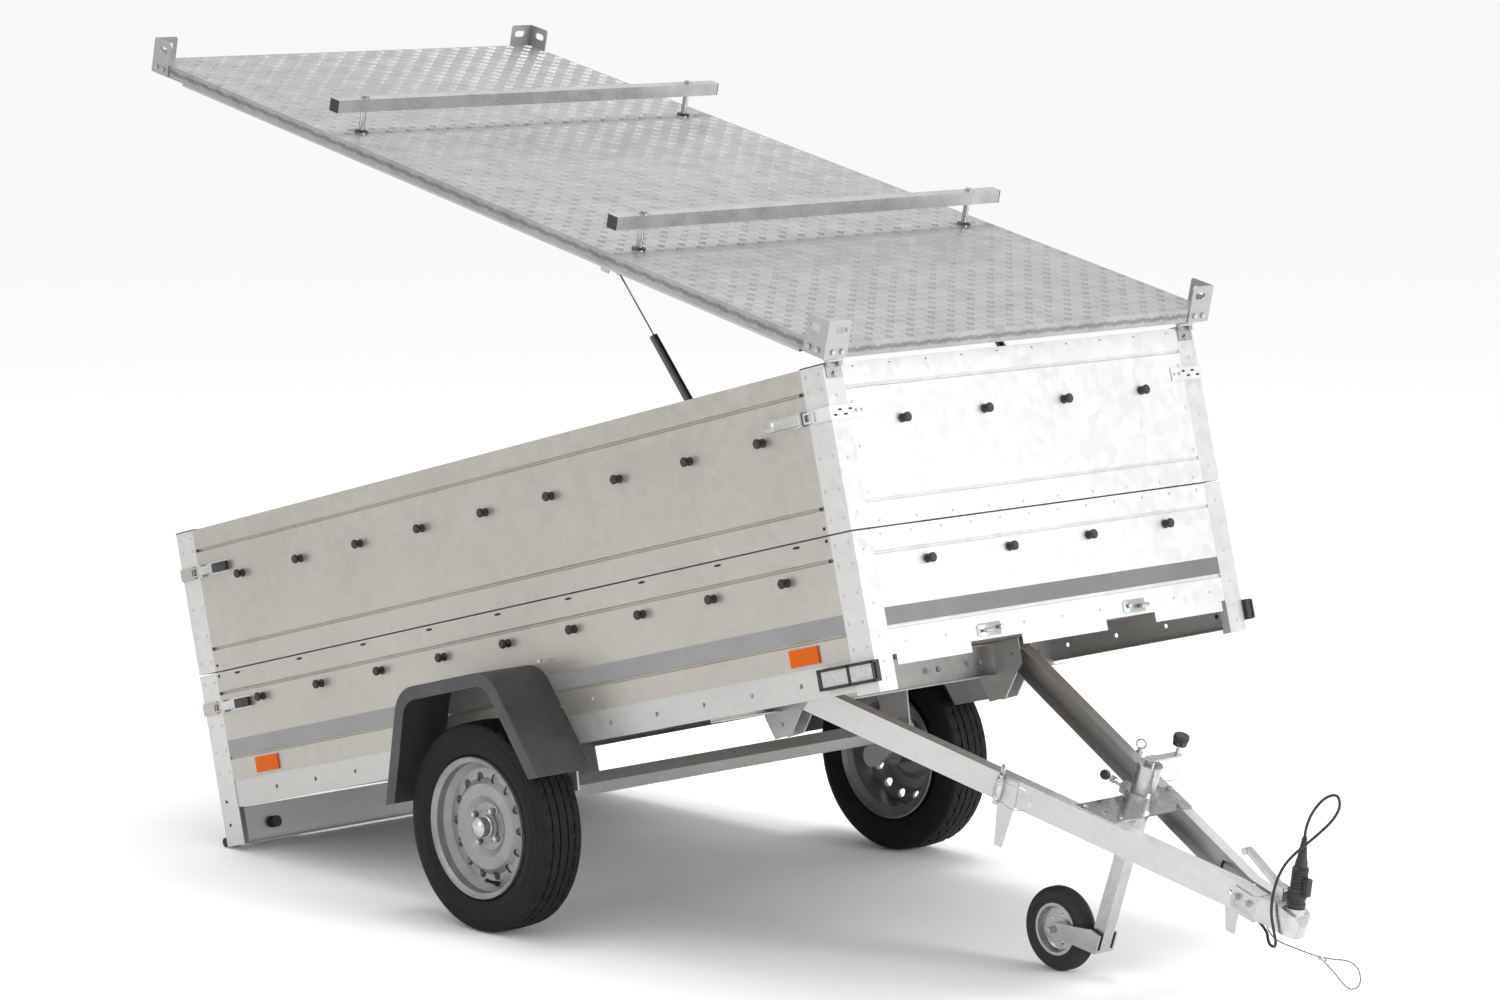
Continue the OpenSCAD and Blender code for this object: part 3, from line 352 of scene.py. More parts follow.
class Finishes:
    """Every finish of the trailer, made once."""

    def __init__(self) -> None:
        """Builds all the materials."""
        self.wall = Galvanised("galvanised_wall").make()
        # Corner posts: the galvanised zinc lighter than the side walls, between them and the front, which
        # paints light on the posts.
        self.post = Galvanised("galvanised_post", (0.53, 0.53, 0.525), 0.36, 45.0, 0.06, 0.5).make()
        self.ear = Galvanised("galvanised_ear", (0.34, 0.34, 0.335), 0.36, 90.0, 0.08, 0.6).make()
        # Front wall and front flap: the walls' galvanised zinc in a much lighter, cooler tone, which paints
        # the light falling on the front.
        self.front = Galvanised("galvanised_front", (0.60, 0.61, 0.62), 0.38, 38.0, 0.05, 0.45).make()
        self.frame = Galvanised("galvanised_frame", (0.40, 0.40, 0.39), 0.40, 70.0, 0.16).make()
        self.arm = Galvanised("galvanised_arm", (0.52, 0.52, 0.515), 0.34, 55.0, 0.08).make()
        self.lid = Steel("tread_plate", (0.345, 0.345, 0.342), 0.36, 0.0, 0.7).make()
        self.bar = Steel("roof_bar_zinc", (0.40, 0.40, 0.395), 0.30, 0.0, 0.75).make()
        self.steel = Steel("bright_zinc", (0.50, 0.50, 0.495), 0.26).make()
        self.wire = Steel("wire_rope", (0.075, 0.075, 0.075), 0.45, 0.0, 0.5).make()
        self.zinc = Steel("cast_zinc", (0.52, 0.52, 0.515), 0.26).make()
        self.rod = Steel("piston_rod", (0.80, 0.80, 0.81), 0.12).make()
        self.rim = Steel("rim_silver", (0.27, 0.275, 0.28), 0.38, 0.0, 0.55).make()
        self.guard = Moulded("guard_plastic", (0.036, 0.036, 0.038), 0.52, Grain.COARSE, 0.0006).make()
        self.black = Moulded("black_plastic", (0.007, 0.007, 0.0075), 0.46).make()
        self.rubber = Moulded("black_rubber", (0.008, 0.008, 0.008), 0.66).make()
        self.paint = Moulded("strut_black", (0.010, 0.010, 0.010), 0.24, Grain.FINE, 0.0001, 0.4).make()
        self.tyre = TyreRubber().make()
        # The tread plate in a much darker tone for the bars on the lid's rim, which paints the shade of the
        # rim's diagonal checks.
        self.edge = Steel("tread_edge", (0.15, 0.15, 0.148), 0.42, 0.0, 0.5).make()
        self.orange = Reflector("orange_reflector", (0.62, 0.105, 0.0), 330.0, 0.0).make()
        self.red = Reflector("red_lens", (0.46, 0.012, 0.010), 240.0).make()
        self.clear = Reflector("clear_lens", (0.46, 0.46, 0.45), 160.0, 0.5).make()
        self.wood = Plywood().make()
        self.band = PrintedStripe().make()
        self.front_band = PrintedStripe("printed_band_front", (0.125, 0.125, 0.127)).make()
        self.dark = Moulded("shadow_gap", (0.012, 0.012, 0.012), 0.8).make()

    def dress(self, nodes: dict[str, bpy.types.Object]) -> None:
        """Gives each CAD node its finish.

        Args:
            nodes: the frame's node objects by name.
        """
        by_slot = {
            "galvanised": self.wall, "galvanised_frame": self.frame, "bright_steel": self.steel,
            "lid_plate": self.lid, "lid_frame_metal": self.frame, "plywood": self.wood,
            "black_plastic": self.black, "guard_plastic": self.guard, "orange_reflector": self.orange,
            "clear_lens": self.clear, "black_rubber": self.rubber, "tyre_rubber": self.tyre,
            "rim_steel": self.rim, "zinc_casting": self.zinc, "strut_black": self.paint,
            "rod_chrome": self.rod}
        own = {
            "drawbar_arms": self.arm, "roof_bars": self.bar, "front_wall": self.front,
            "front_flap": self.front, "corner_posts": self.post, "lid_ears": self.ear}
        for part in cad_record()["subparts"]:
            node = nodes[part["node"]]
            finish = own.get(part["node"], by_slot[part["material_slot"]])
            for place in node.material_slots:
                place.material = finish


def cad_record() -> dict:
    """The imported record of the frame."""
    return FRAME["record"]


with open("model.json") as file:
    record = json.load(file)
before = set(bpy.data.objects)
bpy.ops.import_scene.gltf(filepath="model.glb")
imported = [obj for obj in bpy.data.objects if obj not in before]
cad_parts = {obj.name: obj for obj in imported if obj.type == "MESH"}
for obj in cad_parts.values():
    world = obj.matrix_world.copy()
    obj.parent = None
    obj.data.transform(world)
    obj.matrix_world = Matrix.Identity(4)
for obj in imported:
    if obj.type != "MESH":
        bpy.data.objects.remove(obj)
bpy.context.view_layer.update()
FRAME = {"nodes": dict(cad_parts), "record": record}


# ---------------------------------------------------------------- mesh helpers


def new_piece(name: str, bm: bmesh.types.BMesh, material: bpy.types.Material, body: str,
              frame: Matrix | None = None, smooth: float | None = 35.0) -> bpy.types.Object:
    """Turns a bmesh into a finished piece that rides on a body.

    Args:
        name: the piece's name.
        bm: the mesh, which is used up.
        material: its finish.
        body: the CAD body that carries it.
        frame: where the mesh's own frame stands, or None for the row frame.
        smooth: the angle in degrees under which edges shade smoothly, or None for flat.

    Returns:
        The piece.
    """
    if frame is not None:
        bm.transform(frame)
        if frame.determinant() < 0:
            bmesh.ops.reverse_faces(bm, faces=bm.faces[:])
    mesh = bpy.data.meshes.new(name)
    bm.to_mesh(mesh)
    bm.free()
    mesh.materials.append(material)
    piece = bpy.data.objects.new(name, mesh)
    bpy.context.collection.objects.link(piece)
    if smooth is not None:
        mesh.shade_smooth()
        mesh.set_sharp_from_angle(angle=math.radians(smooth))
    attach(piece, body)
    LOG.info("%s: %d faces on %s", name, len(mesh.polygons), body)
    return piece


def lathe(bm: bmesh.types.BMesh, profile: Profile, steps: int, place: Matrix,
          closed: bool = False, reach: Callable[[int, int], float] | None = None) -> None:
    """Turns a profile of (radius, height) about the local Z axis.

    Args:
        bm: the mesh that receives the faces.
        profile: the outline, from one end to the other.
        steps: how many segments go round.
        place: where the lathe's axis stands.
        closed: whether the outline closes on itself.
        reach: a change of radius for a step and a profile point, or None.
    """
    rings = []
    for i in range(steps):
        angle = 2 * math.pi * i / steps
        ring = []
        for j, (radius, height) in enumerate(profile):
            r = radius + (reach(i, j) if reach else 0.0)
            ring.append(bm.verts.new(place @ Vector((r * math.cos(angle), r * math.sin(angle), height))))
        rings.append(ring)
    count = len(profile)
    for i in range(steps):
        a, b = rings[i], rings[(i + 1) % steps]
        for j in range(count if closed else count - 1):
            k = (j + 1) % count
            bm.faces.new((a[j], b[j], b[k], a[k]))
    bmesh.ops.remove_doubles(bm, verts=bm.verts[:], dist=1e-6)
    bmesh.ops.recalc_face_normals(bm, faces=bm.faces[:])


def slab(bm: bmesh.types.BMesh, low: Point, high: Point, edge: float = 0.0) -> None:
    """Adds a box between two corners, its edges broken by a small chamfer."""
    made = bmesh.ops.create_cube(bm, size=1.0)["verts"]
    for v in made:
        v.co = Vector([low[k] + (v.co[k] + 0.5) * (high[k] - low[k]) for k in range(3)])
    if edge > 0:
        edges = list({e for v in made for e in v.link_edges})
        bmesh.ops.bevel(bm, geom=edges, offset=edge, segments=2, affect="EDGES", profile=0.5)


def both_sides() -> Iterable[tuple[str, Matrix]]:
    """The right side as it is and the left side mirrored."""
    yield "right", Matrix.Identity(4)
    yield "left", Matrix.Scale(-1, 4, (1, 0, 0))


# ---------------------------------------------------------------- repeated pieces


class Stud(Enum):
    """What stands at each point of a field."""

    RIVET = "rivet"
    BOLT = "bolt"
    BAR = "bar"
    SLOT = "slot"


@dataclass
class StudField:
    """Many small equal pieces at listed places, made by one Geometry Nodes tree."""

    name: str
    kind: Stud
    radius: float
    height: float
    material: bpy.types.Material
    body: str
    slot: str
    places: list[tuple[Vector, Euler]] = field(default_factory=list)
    length: float = 1.0

    def add(self, frame: Matrix, at: Point, out: Point, spin: float = 0.0) -> None:
        """Adds one place.

        Args:
            frame: the frame that the place is given in.
            at: the point on the surface.
            out: the direction away from the surface.
            spin: a turn about that direction, in degrees.
        """
        aim = (frame.to_3x3() @ Vector(out)).normalized()
        side = (frame.to_3x3() @ Vector((1, 0, 0) if abs(out[0]) < 0.9 else (0, 1, 0))).normalized()
        side = (side - side.dot(aim) * aim).normalized()
        basis = Matrix((side, aim.cross(side), aim)).transposed()
        turned = basis @ Matrix.Rotation(math.radians(spin), 3, "Z")
        self.places.append((frame @ Vector(at), turned.to_euler()))

    def _tree(self) -> bpy.types.NodeTree:
        """Builds the tree: a frustum on every point, turned by its own attribute."""
        tree = bpy.data.node_groups.new(self.name + "_tree", "GeometryNodeTree")
        face = tree.interface
        face.new_socket("Geometry", in_out="INPUT", socket_type="NodeSocketGeometry")
        face.new_socket("Radius", in_out="INPUT", socket_type="NodeSocketFloat")
        face.new_socket("Height", in_out="INPUT", socket_type="NodeSocketFloat")
        face.new_socket("Length", in_out="INPUT", socket_type="NodeSocketFloat")
        face.new_socket("Geometry", in_out="OUTPUT", socket_type="NodeSocketGeometry")
        nodes, links = tree.nodes, tree.links
        source, result = nodes.new("NodeGroupInput"), nodes.new("NodeGroupOutput")
        cone = nodes.new("GeometryNodeMeshCone")
        sides = {Stud.RIVET: 10, Stud.BOLT: 6, Stud.BAR: 4, Stud.SLOT: 8}[self.kind]
        taper = {Stud.RIVET: 0.55, Stud.BOLT: 0.90, Stud.BAR: 0.55, Stud.SLOT: 0.98}[self.kind]
        cone.inputs["Vertices"].default_value = sides
        top = nodes.new("ShaderNodeMath")
        top.operation = "MULTIPLY"
        top.inputs[1].default_value = taper
        links.new(source.outputs["Radius"], top.inputs[0])
        links.new(top.outputs[0], cone.inputs["Radius Top"])
        links.new(source.outputs["Radius"], cone.inputs["Radius Bottom"])
        links.new(source.outputs["Height"], cone.inputs["Depth"])
        stretch = nodes.new("ShaderNodeCombineXYZ")
        stretch.inputs[1].default_value = 1.0
        stretch.inputs[2].default_value = 1.0
        links.new(source.outputs["Length"], stretch.inputs[0])
        turn = nodes.new("GeometryNodeInputNamedAttribute")
        turn.data_type = "FLOAT_VECTOR"
        turn.inputs["Name"].default_value = "turn"
        stand = nodes.new("GeometryNodeInstanceOnPoints")
        links.new(source.outputs["Geometry"], stand.inputs["Points"])
        links.new(cone.outputs["Mesh"], stand.inputs["Instance"])
        links.new(turn.outputs["Attribute"], stand.inputs["Rotation"])
        links.new(stretch.outputs[0], stand.inputs["Scale"])
        real = nodes.new("GeometryNodeRealizeInstances")
        coat = nodes.new("GeometryNodeSetMaterial")
        coat.inputs["Material"].default_value = self.material
        links.new(stand.outputs["Instances"], real.inputs["Geometry"])
        links.new(real.outputs["Geometry"], coat.inputs["Geometry"])
        links.new(coat.outputs["Geometry"], result.inputs["Geometry"])
        return tree

    def build(self) -> bpy.types.Object:
        """Evaluates the tree and keeps its result as a plain piece."""
        cloud = bpy.data.meshes.new(self.name + "_points")
        cloud.from_pydata([tuple(p) for p, _ in self.places], [], [])
        turns = cloud.attributes.new("turn", "FLOAT_VECTOR", "POINT")
        turns.data.foreach_set("vector", [a for _, e in self.places for a in e])
        source = bpy.data.objects.new(self.name + "_points", cloud)
        bpy.context.collection.objects.link(source)
        tree = self._tree()
        modifier = source.modifiers.new("studs", "NODES")
        modifier.node_group = tree
        values = {"Radius": self.radius, "Height": self.height, "Length": self.length}
        for item in tree.interface.items_tree:
            if item.in_out == "INPUT" and item.name in values:
                modifier[item.identifier] = float(values[item.name])
        graph = bpy.context.evaluated_depsgraph_get()
        mesh = bpy.data.meshes.new_from_object(source.evaluated_get(graph))
        source.modifiers.clear()
        bpy.data.objects.remove(source)
        mesh.name = self.name
        piece = bpy.data.objects.new(self.name, mesh)
        if not mesh.materials:
            mesh.materials.append(self.material)
        bpy.context.collection.objects.link(piece)
        mesh.shade_smooth()
        mesh.set_sharp_from_angle(angle=math.radians(50))
        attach(piece, self.body)
        LOG.info("%s: %d places on %s", self.name, len(self.places), self.body)
        return piece


# ---------------------------------------------------------------- camera, floor and light


@dataclass
class Studio:
    """Camera, pale floor and soft lamps."""

    eye: Point = (-8.3436, -8.9216, 2.7606)
    look: Point = (0.67845, 0.72624, -0.11086)
    lens: float = 113.49
    sensor: float = 36.0
    shift_x: float = -0.017
    shift_y: float = -0.0837
    floor: float = 150.0

    def camera(self) -> None:
        """Sets the camera at its solved place, looking along its axis."""
        data = bpy.data.cameras.new("camera")
        data.lens, data.sensor_width = self.lens, self.sensor
        data.shift_x, data.shift_y = self.shift_x, self.shift_y
        data.clip_end = 100.0
        eye = bpy.data.objects.new("camera", data)
        eye.location = self.eye
        eye.rotation_euler = Vector(self.look).to_track_quat("-Z", "Y").to_euler()
        bpy.context.collection.objects.link(eye)
        bpy.context.scene.camera = eye

    def _lamp(self, name: str, at: Point, aim: Point, size: float, power: float) -> None:
        """One square area lamp that looks at a point."""
        data = bpy.data.lights.new(name, "AREA")
        data.size, data.energy = size, power
        lamp = bpy.data.objects.new(name, data)
        lamp.location = at
        lamp.rotation_euler = (Vector(aim) - Vector(at)).to_track_quat("-Z", "Y").to_euler()
        bpy.context.collection.objects.link(lamp)

    def light(self) -> None:
        """Hangs the lamps and lights the surroundings evenly."""
        self._lamp("key", (2.0, -8.5, 2.6), (0, -0.8, 1.0), 2.6, 430)
        self._lamp("side", (-7.5, 2.6, 2.2), (0, 0.6, 0.7), 2.2, 60)
        self._lamp("over", (0.5, 0.5, 7.0), (0, 0, 0.8), 3.0, 330)
        world = bpy.data.worlds.new("surroundings")
        world.use_nodes = True
        back = world.node_tree.nodes["Background"]
        back.inputs["Color"].default_value = (1.0, 1.0, 1.0, 1)
        back.inputs["Strength"].default_value = 0.98
        bpy.context.scene.world = world
        bpy.context.scene.view_settings.view_transform = "Standard"

    def ground(self) -> None:
        """Lays the pale floor."""
        bm = bmesh.new()
        bmesh.ops.create_grid(bm, x_segments=1, y_segments=1, size=self.floor)
        mesh = bpy.data.meshes.new("floor")
        bm.to_mesh(mesh)
        bm.free()
        shade = Shade("pale_floor")
        speck = shade.noise(30.0, 3.0)
        shade.set(Base_Color=shade.ramp(speck, (0.3, (0.95, 0.95, 0.95)), (0.7, (0.97, 0.97, 0.97))),
                  Roughness=0.85)
        mesh.materials.append(shade.material)
        floor = bpy.data.objects.new("floor", mesh)
        floor.location.z = -0.0005
        bpy.context.collection.objects.link(floor)

    def build(self) -> None:
        """Sets up the whole studio."""
        self.camera()
        self.light()
        self.ground()


# ---------------------------------------------------------------- cords


@dataclass
class Cord:
    """A sheathed lead or a wire along the drawbar's own route points."""

    name: str
    node: str
    route: Sequence[tuple[float, float, float]]
    radius: float
    material: bpy.types.Material
    slot: str
    stiffness: str
    far_end: str
    sides: int = 14
    strands: int = 0

    def path(self) -> list[Vector]:
        """Points on a smooth line through the route, the same way as the solid's."""
        points = [Vector((x, -s, h)) for x, s, h in self.route]
        count, found = len(points), []
        for i in range(count - 1):
            a, b = points[max(i - 1, 0)], points[i]
            c, d = points[i + 1], points[min(i + 2, count - 1)]
            for j in range(4):
                t = j / 4
                found.append(0.5 * (2 * b + (c - a) * t + (2 * a - 5 * b + 4 * c - d) * t * t
                                    + (3 * b - a - 3 * c + d) * t ** 3))
        found.append(points[-1])
        return [DRAWBAR @ (p / 1000) for p in found]

    def build(self, fittings: Sequence[bpy.types.Object] = ()) -> bpy.types.Object:
        """Args:
            fittings: the pieces that come with the cord, such as its plug; not used.

        Returns:
            The cord.
        """
        path = self.path()
        bm = bmesh.new()
        normal, rings, run = Vector((1, 0, 0)), [], 0.0
        for i, point in enumerate(path):
            ahead = (path[min(i + 1, len(path) - 1)] - path[max(i - 1, 0)]).normalized()
            normal = (normal - normal.dot(ahead) * ahead).normalized()
            other = ahead.cross(normal)
            run += (point - path[i - 1]).length if i else 0.0
            ring = []
            for k in range(self.sides):
                angle = 2 * math.pi * k / self.sides
                lay = angle + (run / (self.radius * 9) if self.strands else 0.0)
                swell = 1.0 - (0.14 * (k % 2) if self.strands else 0.0)
                ring.append(bm.verts.new(point + self.radius * swell * (
                    math.cos(lay) * normal + math.sin(lay) * other)))
            rings.append(ring)
        for a, b in zip(rings, rings[1:]):
            for k in range(self.sides):
                m = (k + 1) % self.sides
                bm.faces.new((a[k], a[m], b[m], b[k]))
        bm.faces.new(list(reversed(rings[0])))
        bm.faces.new(rings[-1])
        bmesh.ops.recalc_face_normals(bm, faces=bm.faces[:])
        piece = new_piece(self.name, bm, self.material, "drawbar", None, 60.0)
        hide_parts(self.node)
        2 * self.radius
        LOG.info("%s: %.3f m long", self.name, run)
        return piece


LEAD_ROUTE = [
    (0, 1312, 210), (0, 1308, 236), (1, 1311, 272), (3, 1325, 312), (4, 1345, 338),
    (4, 1366, 347), (0, 1382, 328), (-8, 1380, 296), (-18, 1366, 260), (-28, 1348, 224),
    (-38, 1328, 186), (-46, 1312, 145), (-50, 1306, 102), (-51, 1308, 60), (-51, 1318, 20),
    (-49, 1334, -12), (-45, 1347, -38), (-41, 1346, -55), (-35, 1328, -61), (-22, 1308, -59),
    (-8, 1288, -53), (1, 1250, -46), (2, 1208, -44), (4, 1166, -42), (9, 1132, -32),
    (22, 1104, -22), (42, 1078, -14), (62, 1058, -10), (86.5, 1040, -10)]
WIRE_ROUTE = [
    (-20, 1290, -21), (-21, 1296, -34), (-29, 1322, -41), (-33, 1352, -41), (-22, 1398, -37),
    (-7, 1444, -33), (0, 1488, -19), (5, 1515, -8), (7, 1538, -4), (8, 1560, -12), (6, 1573, -30),
    (2, 1574, -46), (-2, 1562, -58), (-5, 1545, -58), (-6, 1520, -50), (-5, 1490, -41), (-4, 1460, -36)]


# ---------------------------------------------------------------- box


@dataclass
class BoxBody:
    """Bands, rivets, slots and lamps of the box."""

    finishes: Finishes
    band_low: float = 0.1365
    band_high: float = 0.1860
    band_skin: float = 0.0004
    rail_pitch: float = 0.150
    post_in: float = 0.080
    lamp_face: float = 0.030
    lamp_low: float = -0.078
    lamp_high: float = -0.028

    def bands(self) -> None:
        """Plain grey bands on both sides, the front wall and the lower tailgate."""
        low, high, skin = self.band_low + 0.006, self.band_high, self.band_skin
        for side, mirror in both_sides():
            bm = bmesh.new()
            start = self.post_in + 0.002
            slab(bm, (-HALF - skin, start, low), (-HALF, BOX_LENGTH - start, high))
            new_piece("band_" + side, bm, self.finishes.band, "box", BOX @ mirror, None)
        bm = bmesh.new()
        slab(bm, (-HALF + 0.061, -skin, low), (HALF - 0.061, 0, high))
        new_piece("band_front", bm, self.finishes.front_band, "box", BOX, None)
        bm = bmesh.new()
        slab(bm, (-HALF + 0.061, BOX_LENGTH, low), (HALF - 0.061, BOX_LENGTH + skin, high))
        new_piece("band_rear", bm, self.finishes.band, "tailgate_lower", BOX, None)

    def rivets(self) -> None:
        """Rivet heads along the rails, the posts and the walls' ends."""
        make = self.finishes
        heads = StudField("wall_rivets", Stud.RIVET, 0.0042, 0.0022, make.frame, "box", "galvanised")
        for sign in (-1, 1):
            out = (sign, 0, 0)
            x = sign * HALF
            steps = int((BOX_LENGTH - 0.24) / self.rail_pitch)
            for k in range(steps + 1):
                y = 0.12 + k * (BOX_LENGTH - 0.24) / steps
                heads.add(BOX, (x, y, 0.105), out)
                heads.add(BOX, (x, y, SEAM + 0.017), out)
            for end in (0, 1):
                for z in (0.10, 0.16, 0.23, 0.30, 0.35, 0.41, 0.48, 0.56, 0.72, 0.755):
                    for inset in (0.018, 0.066):
                        y = inset if end == 0 else BOX_LENGTH - inset
                        if abs(z - 0.66) > 0.05 and (end == 0 or abs(z - 0.281) > 0.035):
                            heads.add(BOX, (x, y, z), out)
                for z in (0.02, 0.06, 0.12, 0.20, 0.33, 0.42, 0.55, 0.70):
                    y, face = (0.0, -1) if end == 0 else (BOX_LENGTH, 1)
                    heads.add(BOX, (sign * (HALF - 0.030), y, z), (0, face, 0))
        for k in range(12):
            heads.add(BOX, (-0.56 + k * 1.12 / 11, 0, 0.361), (0, -1, 0))
        for k in range(9):
            heads.add(BOX, (-0.54 + k * 1.08 / 8, 0, 0.10), (0, -1, 0))
        heads.build()

    def flap_rivets(self) -> None:
        """Rivet heads on the panels that fold down."""
        for body, y, face, rows in (("front_flap", 0.0, -1, (0.392, 0.765)),
                                    ("tailgate_upper", BOX_LENGTH, 1, (0.392, 0.765)),
                                    ("tailgate_lower", BOX_LENGTH, 1, (0.040, 0.361))):
            heads = StudField(body + "_rivets", Stud.RIVET, 0.0040, 0.0020,
                              self.finishes.steel, body, "galvanised")
            for z in rows:
                for k in range(10):
                    heads.add(BOX, (-0.555 + k * 1.11 / 9, y, z), (0, face, 0))
            for x in (-0.577, 0.577):
                for k in range(3):
                    heads.add(BOX, (x, y, rows[0] + 0.07 + 0.11 * k), (0, face, 0))
            heads.build()

    def slots(self) -> None:
        """Short dark slots in the lower groove and dots at the grooves' ends."""
        marks = StudField("wall_slots", Stud.SLOT, 0.0032, 0.0012, self.finishes.dark, "box",
                          "black_plastic", length=4.2)
        for sign in (-1, 1):
            for k in range(9):
                marks.add(BOX, (sign * (HALF + 0.0001), 0.20 + 0.29 * k, SEAM - 0.012), (sign, 0, 0), 0.0)
        marks.build()
        dots = StudField("wall_holes", Stud.SLOT, 0.0045, 0.0010, self.finishes.dark, "box", "black_plastic")
        for sign in (-1, 1):
            for y in (0.092, BOX_LENGTH - 0.092):
                for z in (0.316, 0.442, 0.718, 0.365, 0.395):
                    dots.add(BOX, (sign * (HALF + 0.0001), y, z), (sign, 0, 0))
            for z in (0.02, -0.045):
                dots.add(BOX, (sign * (HALF + 0.0001), BOX_LENGTH - 0.03, z), (sign, 0, 0))
        dots.build()

    def bolts(self) -> None:
        """Bolt heads on the rails, the beam and the sill."""
        heads = StudField("frame_bolts", Stud.BOLT, 0.0085, 0.0060, self.finishes.steel, "box",
                          "bright_steel")
        for sign in (-1, 1):
            for y in (1.18, 1.24, 1.30, 1.36):
                heads.add(BOX, (sign * (HALF - 0.002), y, 0.020), (sign, 0, 0))
            for y in (1.20, 1.62):
                heads.add(BOX, (sign * (HALF + 0.02), y, 0.222), (0, 0, 1))
            for y, z in ((1.175, 0.10), (1.41, 0.19), (1.645, 0.10)):
                heads.add(BOX, (sign * HALF, y, z), (sign, 0, 0))
            heads.add(BOX, (sign * 0.42, 0.560, 0.032), (sign, 0, 0))
            for x in (0.15, 0.30, 0.52):
                heads.add(BOX, (sign * x, 0.620, 0.030), (0, -1, 0))
            for z in (0.755,):
                heads.add(BOX, (sign * 0.620, -0.003, 0.752), (0, -1, 0))
        heads.build()

    def lamps(self) -> None:
        """Red outer halves of the rear lamps and ribs on the front marker lenses."""
        for side, mirror in both_sides():
            for name, finish, inner, outer in (("red", self.finishes.red, 0.081, 0.160),
                                               ("orange", self.finishes.orange, 0.162, 0.205)):
                bm = bmesh.new()
                slab(bm, (-HALF + inner, BOX_LENGTH + self.lamp_face, self.lamp_low),
                     (-HALF + outer, BOX_LENGTH + self.lamp_face + 0.0095, self.lamp_high), 0.0015)
                new_piece("rear_lens_" + name + "_" + side, bm, finish, "box",
                          BOX @ mirror)
            bm = bmesh.new()
            for y0, y1 in ((-0.015, 0.074), (0.072, 0.174)):
                for low, high in (((-0.0245, y0, 0.0185), (-0.019, y1, 0.0235)),
                                  ((-0.0245, y0, 0.0605), (-0.019, y1, 0.0655)),
                                  ((-0.0245, y0, 0.0185), (-0.019, y0 + 0.005, 0.0655)),
                                  ((-0.0245, y1 - 0.005, 0.0185), (-0.019, y1, 0.0655))):
                    slab(bm, (-HALF + low[0], *low[1:]), (-HALF + high[0], *high[1:]), 0.0008)
            new_piece("marker_frame_" + side, bm, self.finishes.black, "box", BOX @ mirror)

    def catches(self) -> None:
        """Hooked keepers of the drawbar's locks and loops on the front wall."""
        for side, mirror in both_sides():
            bm = bmesh.new()
            slab(bm, (-0.292, -0.0050, 0.080), (-0.222, -0.0035, 0.112), 0.0005)
            slab(bm, (-0.280, -0.022, 0.088), (-0.266, -0.006, 0.100), 0.003)
            slab(bm, (-0.234, -0.018, 0.092), (-0.225, -0.006, 0.104), 0.003)
            lathe(bm, [(0.0, 0.0), (0.006, 0.0), (0.006, 0.028), (0.0, 0.028)], 12,
                  shift(-0.290, -0.018, 0.094) @ Matrix.Rotation(math.radians(90), 4, "Y"))
            new_piece("lock_keeper_" + side, bm, self.finishes.steel, "box", BOX @ mirror)

    def build(self) -> None:
        """Makes every piece of the box."""
        self.bands()
        self.rivets()
        self.flap_rivets()
        self.slots()
        self.bolts()
        self.lamps()
        self.catches()


@dataclass
class Latches:
    """Punched strap ends and black grips of the latches."""

    finishes: Finishes
    level_up: float = 0.660
    level_low: float = 0.281

    def straps(self) -> None:
        """Slots punched through the front leaf of each strap, shown dark, and rivets."""
        for body, y, face, z in (("front_flap", -0.0031, -1, self.level_up),
                                 ("tailgate_upper", BOX_LENGTH + 0.0031, 1, self.level_up),
                                 ("tailgate_lower", BOX_LENGTH + 0.0031, 1, self.level_low)):
            marks = StudField(body + "_strap_slots", Stud.SLOT, 0.0026, 0.0008, self.finishes.dark,
                              body, "black_plastic", length=2.6)
            heads = StudField(body + "_strap_rivets", Stud.RIVET, 0.0050, 0.0026, self.finishes.steel,
                              body, "bright_steel")
            for sign in (-1, 1):
                for k in range(4):
                    row = 0.006 if k % 2 else -0.006
                    marks.add(BOX, (sign * (0.640 - 0.017 * k), y, z + row), (0, face, 0))
                for x in (0.571, 0.553):
                    heads.add(BOX, (sign * x, y, z), (0, face, 0))
            marks.build()
            heads.build()

    def grips(self) -> None:
        """Black plastic sleeves on the levers' free ends."""
        for body, z, front in (("latch_front", self.level_up, True), ("latch_upper", self.level_up, False),
                               ("latch_lower", self.level_low, False)):
            for side, mirror in both_sides():
                bm = bmesh.new()
                y0, y1 = (0.188, 0.224) if front else (BOX_LENGTH - 0.226, BOX_LENGTH - 0.160)
                slab(bm, (-0.6668, y0, z - 0.0125), (-0.6565, y1, z + 0.0125), 0.0022)
                finish, slot = (self.finishes.steel, "bright_steel") if front else (
                    self.finishes.black, "black_plastic")
                new_piece("%s_grip_%s" % (body, side), bm, finish, "%s_%s" % (body, side), BOX @ mirror)

    def build(self) -> None:
        """Makes every piece of the latches."""
        self.straps()
        self.grips()


# ---------------------------------------------------------------- lid


